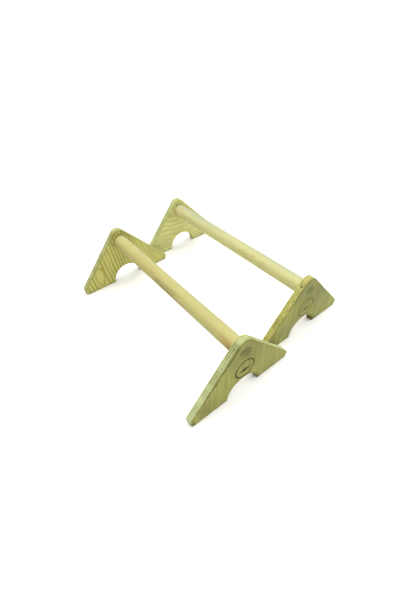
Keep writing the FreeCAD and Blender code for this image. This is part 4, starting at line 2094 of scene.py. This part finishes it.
def stands(groups: Groups, steel: bpy.types.Material) -> list[Stand]:
    """Both stands with their finishes.

    Args:
        groups: Shared node groups.
        steel: Material of the nails.

    Returns:
        The front and the rear stand.
    """
    faces = veneers()
    sawn = edges()
    rails = {
        "front": RailFinish(
            early=(0.46, 0.43, 0.168), late=(0.38, 0.31, 0.095), blush=(0.45, 0.31, 0.1),
            stain_and_shade=(0.12, 0.085, 0.013), top_light_tint=(0.45, 0.45, 0.245), end=(0.166, 0.166, 0.042),
            end_rim=(0.29, 0.285, 0.068), ring_width=3.4, pith=(34.0, -22.0), seed=1.0,
        ),
        "rear": RailFinish(
            early=(0.6, 0.58, 0.255), late=(0.48, 0.42, 0.15), blush=(0.58, 0.46, 0.2),
            stain_and_shade=(0.3, 0.2, 0.06), top_light_tint=(0.345, 0.38, 0.245), end=(0.197, 0.211, 0.066),
            end_rim=(0.27, 0.275, 0.08), ring_width=2.9, pith=(-28.0, 31.0), seed=2.0,
        ),
    }
    blushes = {
        "front": [(252.0, 150.0, 22.0, 30.0, 1.0), (-60.0, 150.0, 90.0, 26.0, 0.45),
                  (-34.0, 132.0, 13.0, 15.0, 0.8), (-150.0, 165.0, 60.0, 20.0, 0.35)],
        "rear": [(-235.0, 150.0, 40.0, 50.0, 0.3), (130.0, 120.0, 50.0, 25.0, 0.35)],
    }
    # The front bar's long streaks, 140 to 179 degrees round, paint shade on its -Y side; the rear
    # bar's small specks are real.
    stains_and_shade = {
        "front": [(-6.0, 171.0, 18.0, 8.0, 0.85), (18.0, 174.0, 24.0, 9.0, 0.95),
                  (46.0, 171.0, 20.0, 7.0, 0.85), (84.0, 179.0, 30.0, 8.0, 0.7),
                  (2.0, 151.0, 22.0, 9.0, 0.42), (30.0, 150.0, 24.0, 9.0, 0.45),
                  (60.0, 140.0, 18.0, 8.0, 0.45), (262.0, 170.0, 10.0, 20.0, 0.6)],
        "rear": [(-4.0, 126.0, 3.0, 6.0, 0.45), (52.0, 128.0, 4.0, 7.0, 0.5),
                 (84.0, 134.0, 3.0, 6.0, 0.5), (120.0, 140.0, 3.0, 7.0, 0.35)],
    }
    # Painted light and shade: cool bands along the upper side of each bar.
    top_light_bands = {
        "front": [(0.0, 58.0, 700.0, 22.0, 0.7)],
        "rear": [(-180.0, 76.0, 220.0, 48.0, 1.0), (150.0, 68.0, 220.0, 40.0, 1.0)],
    }
    pits = {
        "front_right": [(-1, 56.5, 3, 2.2, 1.4), (-1, 92.0, 5, 3.0, 0.8)],
        "front_left": [(-1, 70.0, 1, 5.0, 1.2)],
        "rear_right": [(-1, 102.4, 3, 2.6, 1.3), (-1, 123.4, 4, 2.6, 1.2), (1, 60.0, 5, 4.0, 1.0)],
        "rear_left": [(1, 90.0, 2, 4.0, 1.2)],
    }
    # Spots at across 46 paint shade in the arch's corner, and those at depth 18 beside and just above
    # the rail paint shade at the joint; the ones at the toes are dirt, and the broad faint ones
    # darken the faces.
    soil_and_shade_spots = {
        "front_right": [
            (46.0, 2.0, 6.0, 5.5, 10.0, 14.0, 0.95), (-137.0, 7.0, 0.5, 4.0, 12.0, 3.0, 0.85),
            (-141.0, 6.0, 9.0, 6.0, 9.0, 14.0, 0.3), (-110.0, 34.0, 0.0, 26.0, 26.0, 1.2, 0.3),
            (4.0, 122.0, 0.0, 60.0, 62.0, 5.0, 0.33),
        ],
        "front_left": [
            (-19.0, 129.0, 18.0, 4.0, 6.0, 4.0, 0.6), (-133.0, 8.0, 18.0, 4.0, 4.0, 4.0, 0.5),
            (0.0, 152.5, 18.0, 11.0, 2.2, 3.0, 0.35),
        ],
        "rear_right": [(46.0, 5.0, 6.0, 6.5, 13.0, 14.0, 1.0), (-138.0, 8.0, 1.0, 4.0, 7.0, 4.0, 0.4),
                       (20.0, 112.0, 0.0, 62.0, 56.0, 5.0, 0.3)],
        "rear_left": [(-6.0, 151.5, 18.0, 10.0, 2.0, 3.0, 0.4)],
    }
    arris_dirt = {
        "front_right": (0.8, 0.2), "front_left": (0.2, 0.55),
        "rear_right": (0.65, 0.3), "rear_left": (0.2, 0.35),
    }
    marks = {"front_right": BurntMark(), "rear_right": BurntMark(char=0.62)}
    made = []
    for index, name in enumerate(("front", "rear")):
        body = f"{name}_stand"
        plates = []
        for end, facing in (("right", Facing.RIGHT), ("left", Facing.LEFT)):
            key = f"{name}_{end}"
            plates.append(
                Plate(
                    node=f"{key}_plate", body=body, facing=facing,
                    shape=plate_shape(f"{key}_plate", f"{name}_rail"),
                    outer_finish=faces[f"{key}_outer"], inner_finish=faces[f"{key}_inner"],
                    edge_finish=sawn[key], mark=marks.get(key), pits=pits[key], soil_and_shade_spots=soil_and_shade_spots[key],
                    arris_dirt=arris_dirt[key], seed=3 + 2 * index + (facing is Facing.LEFT),
                )
            )
        rail = Rail(node=f"{name}_rail", body=body, finish=rails[name], blushes=blushes[name],
                    stains_and_shade=stains_and_shade[name], top_light_bands=top_light_bands[name], seed=11 + index)
        made.append(Stand(name=name, plates=plates, rail=rail, steel=steel))
    return made


def main() -> None:
    """Builds the pair and the studio."""
    logging.basicConfig(level=logging.INFO, format="%(message)s")
    groups = Groups()
    steel = SteelFinish().material("nail_steel")
    glue = GlueFinish().material("dried_glue")
    for stand in stands(groups, steel):
        stand.build(groups, glue)
        LOG.info("%s stand: done", stand.name)
    Studio().build()
    LOG.info("studio: done")


if __name__ == "__main__":
    main()
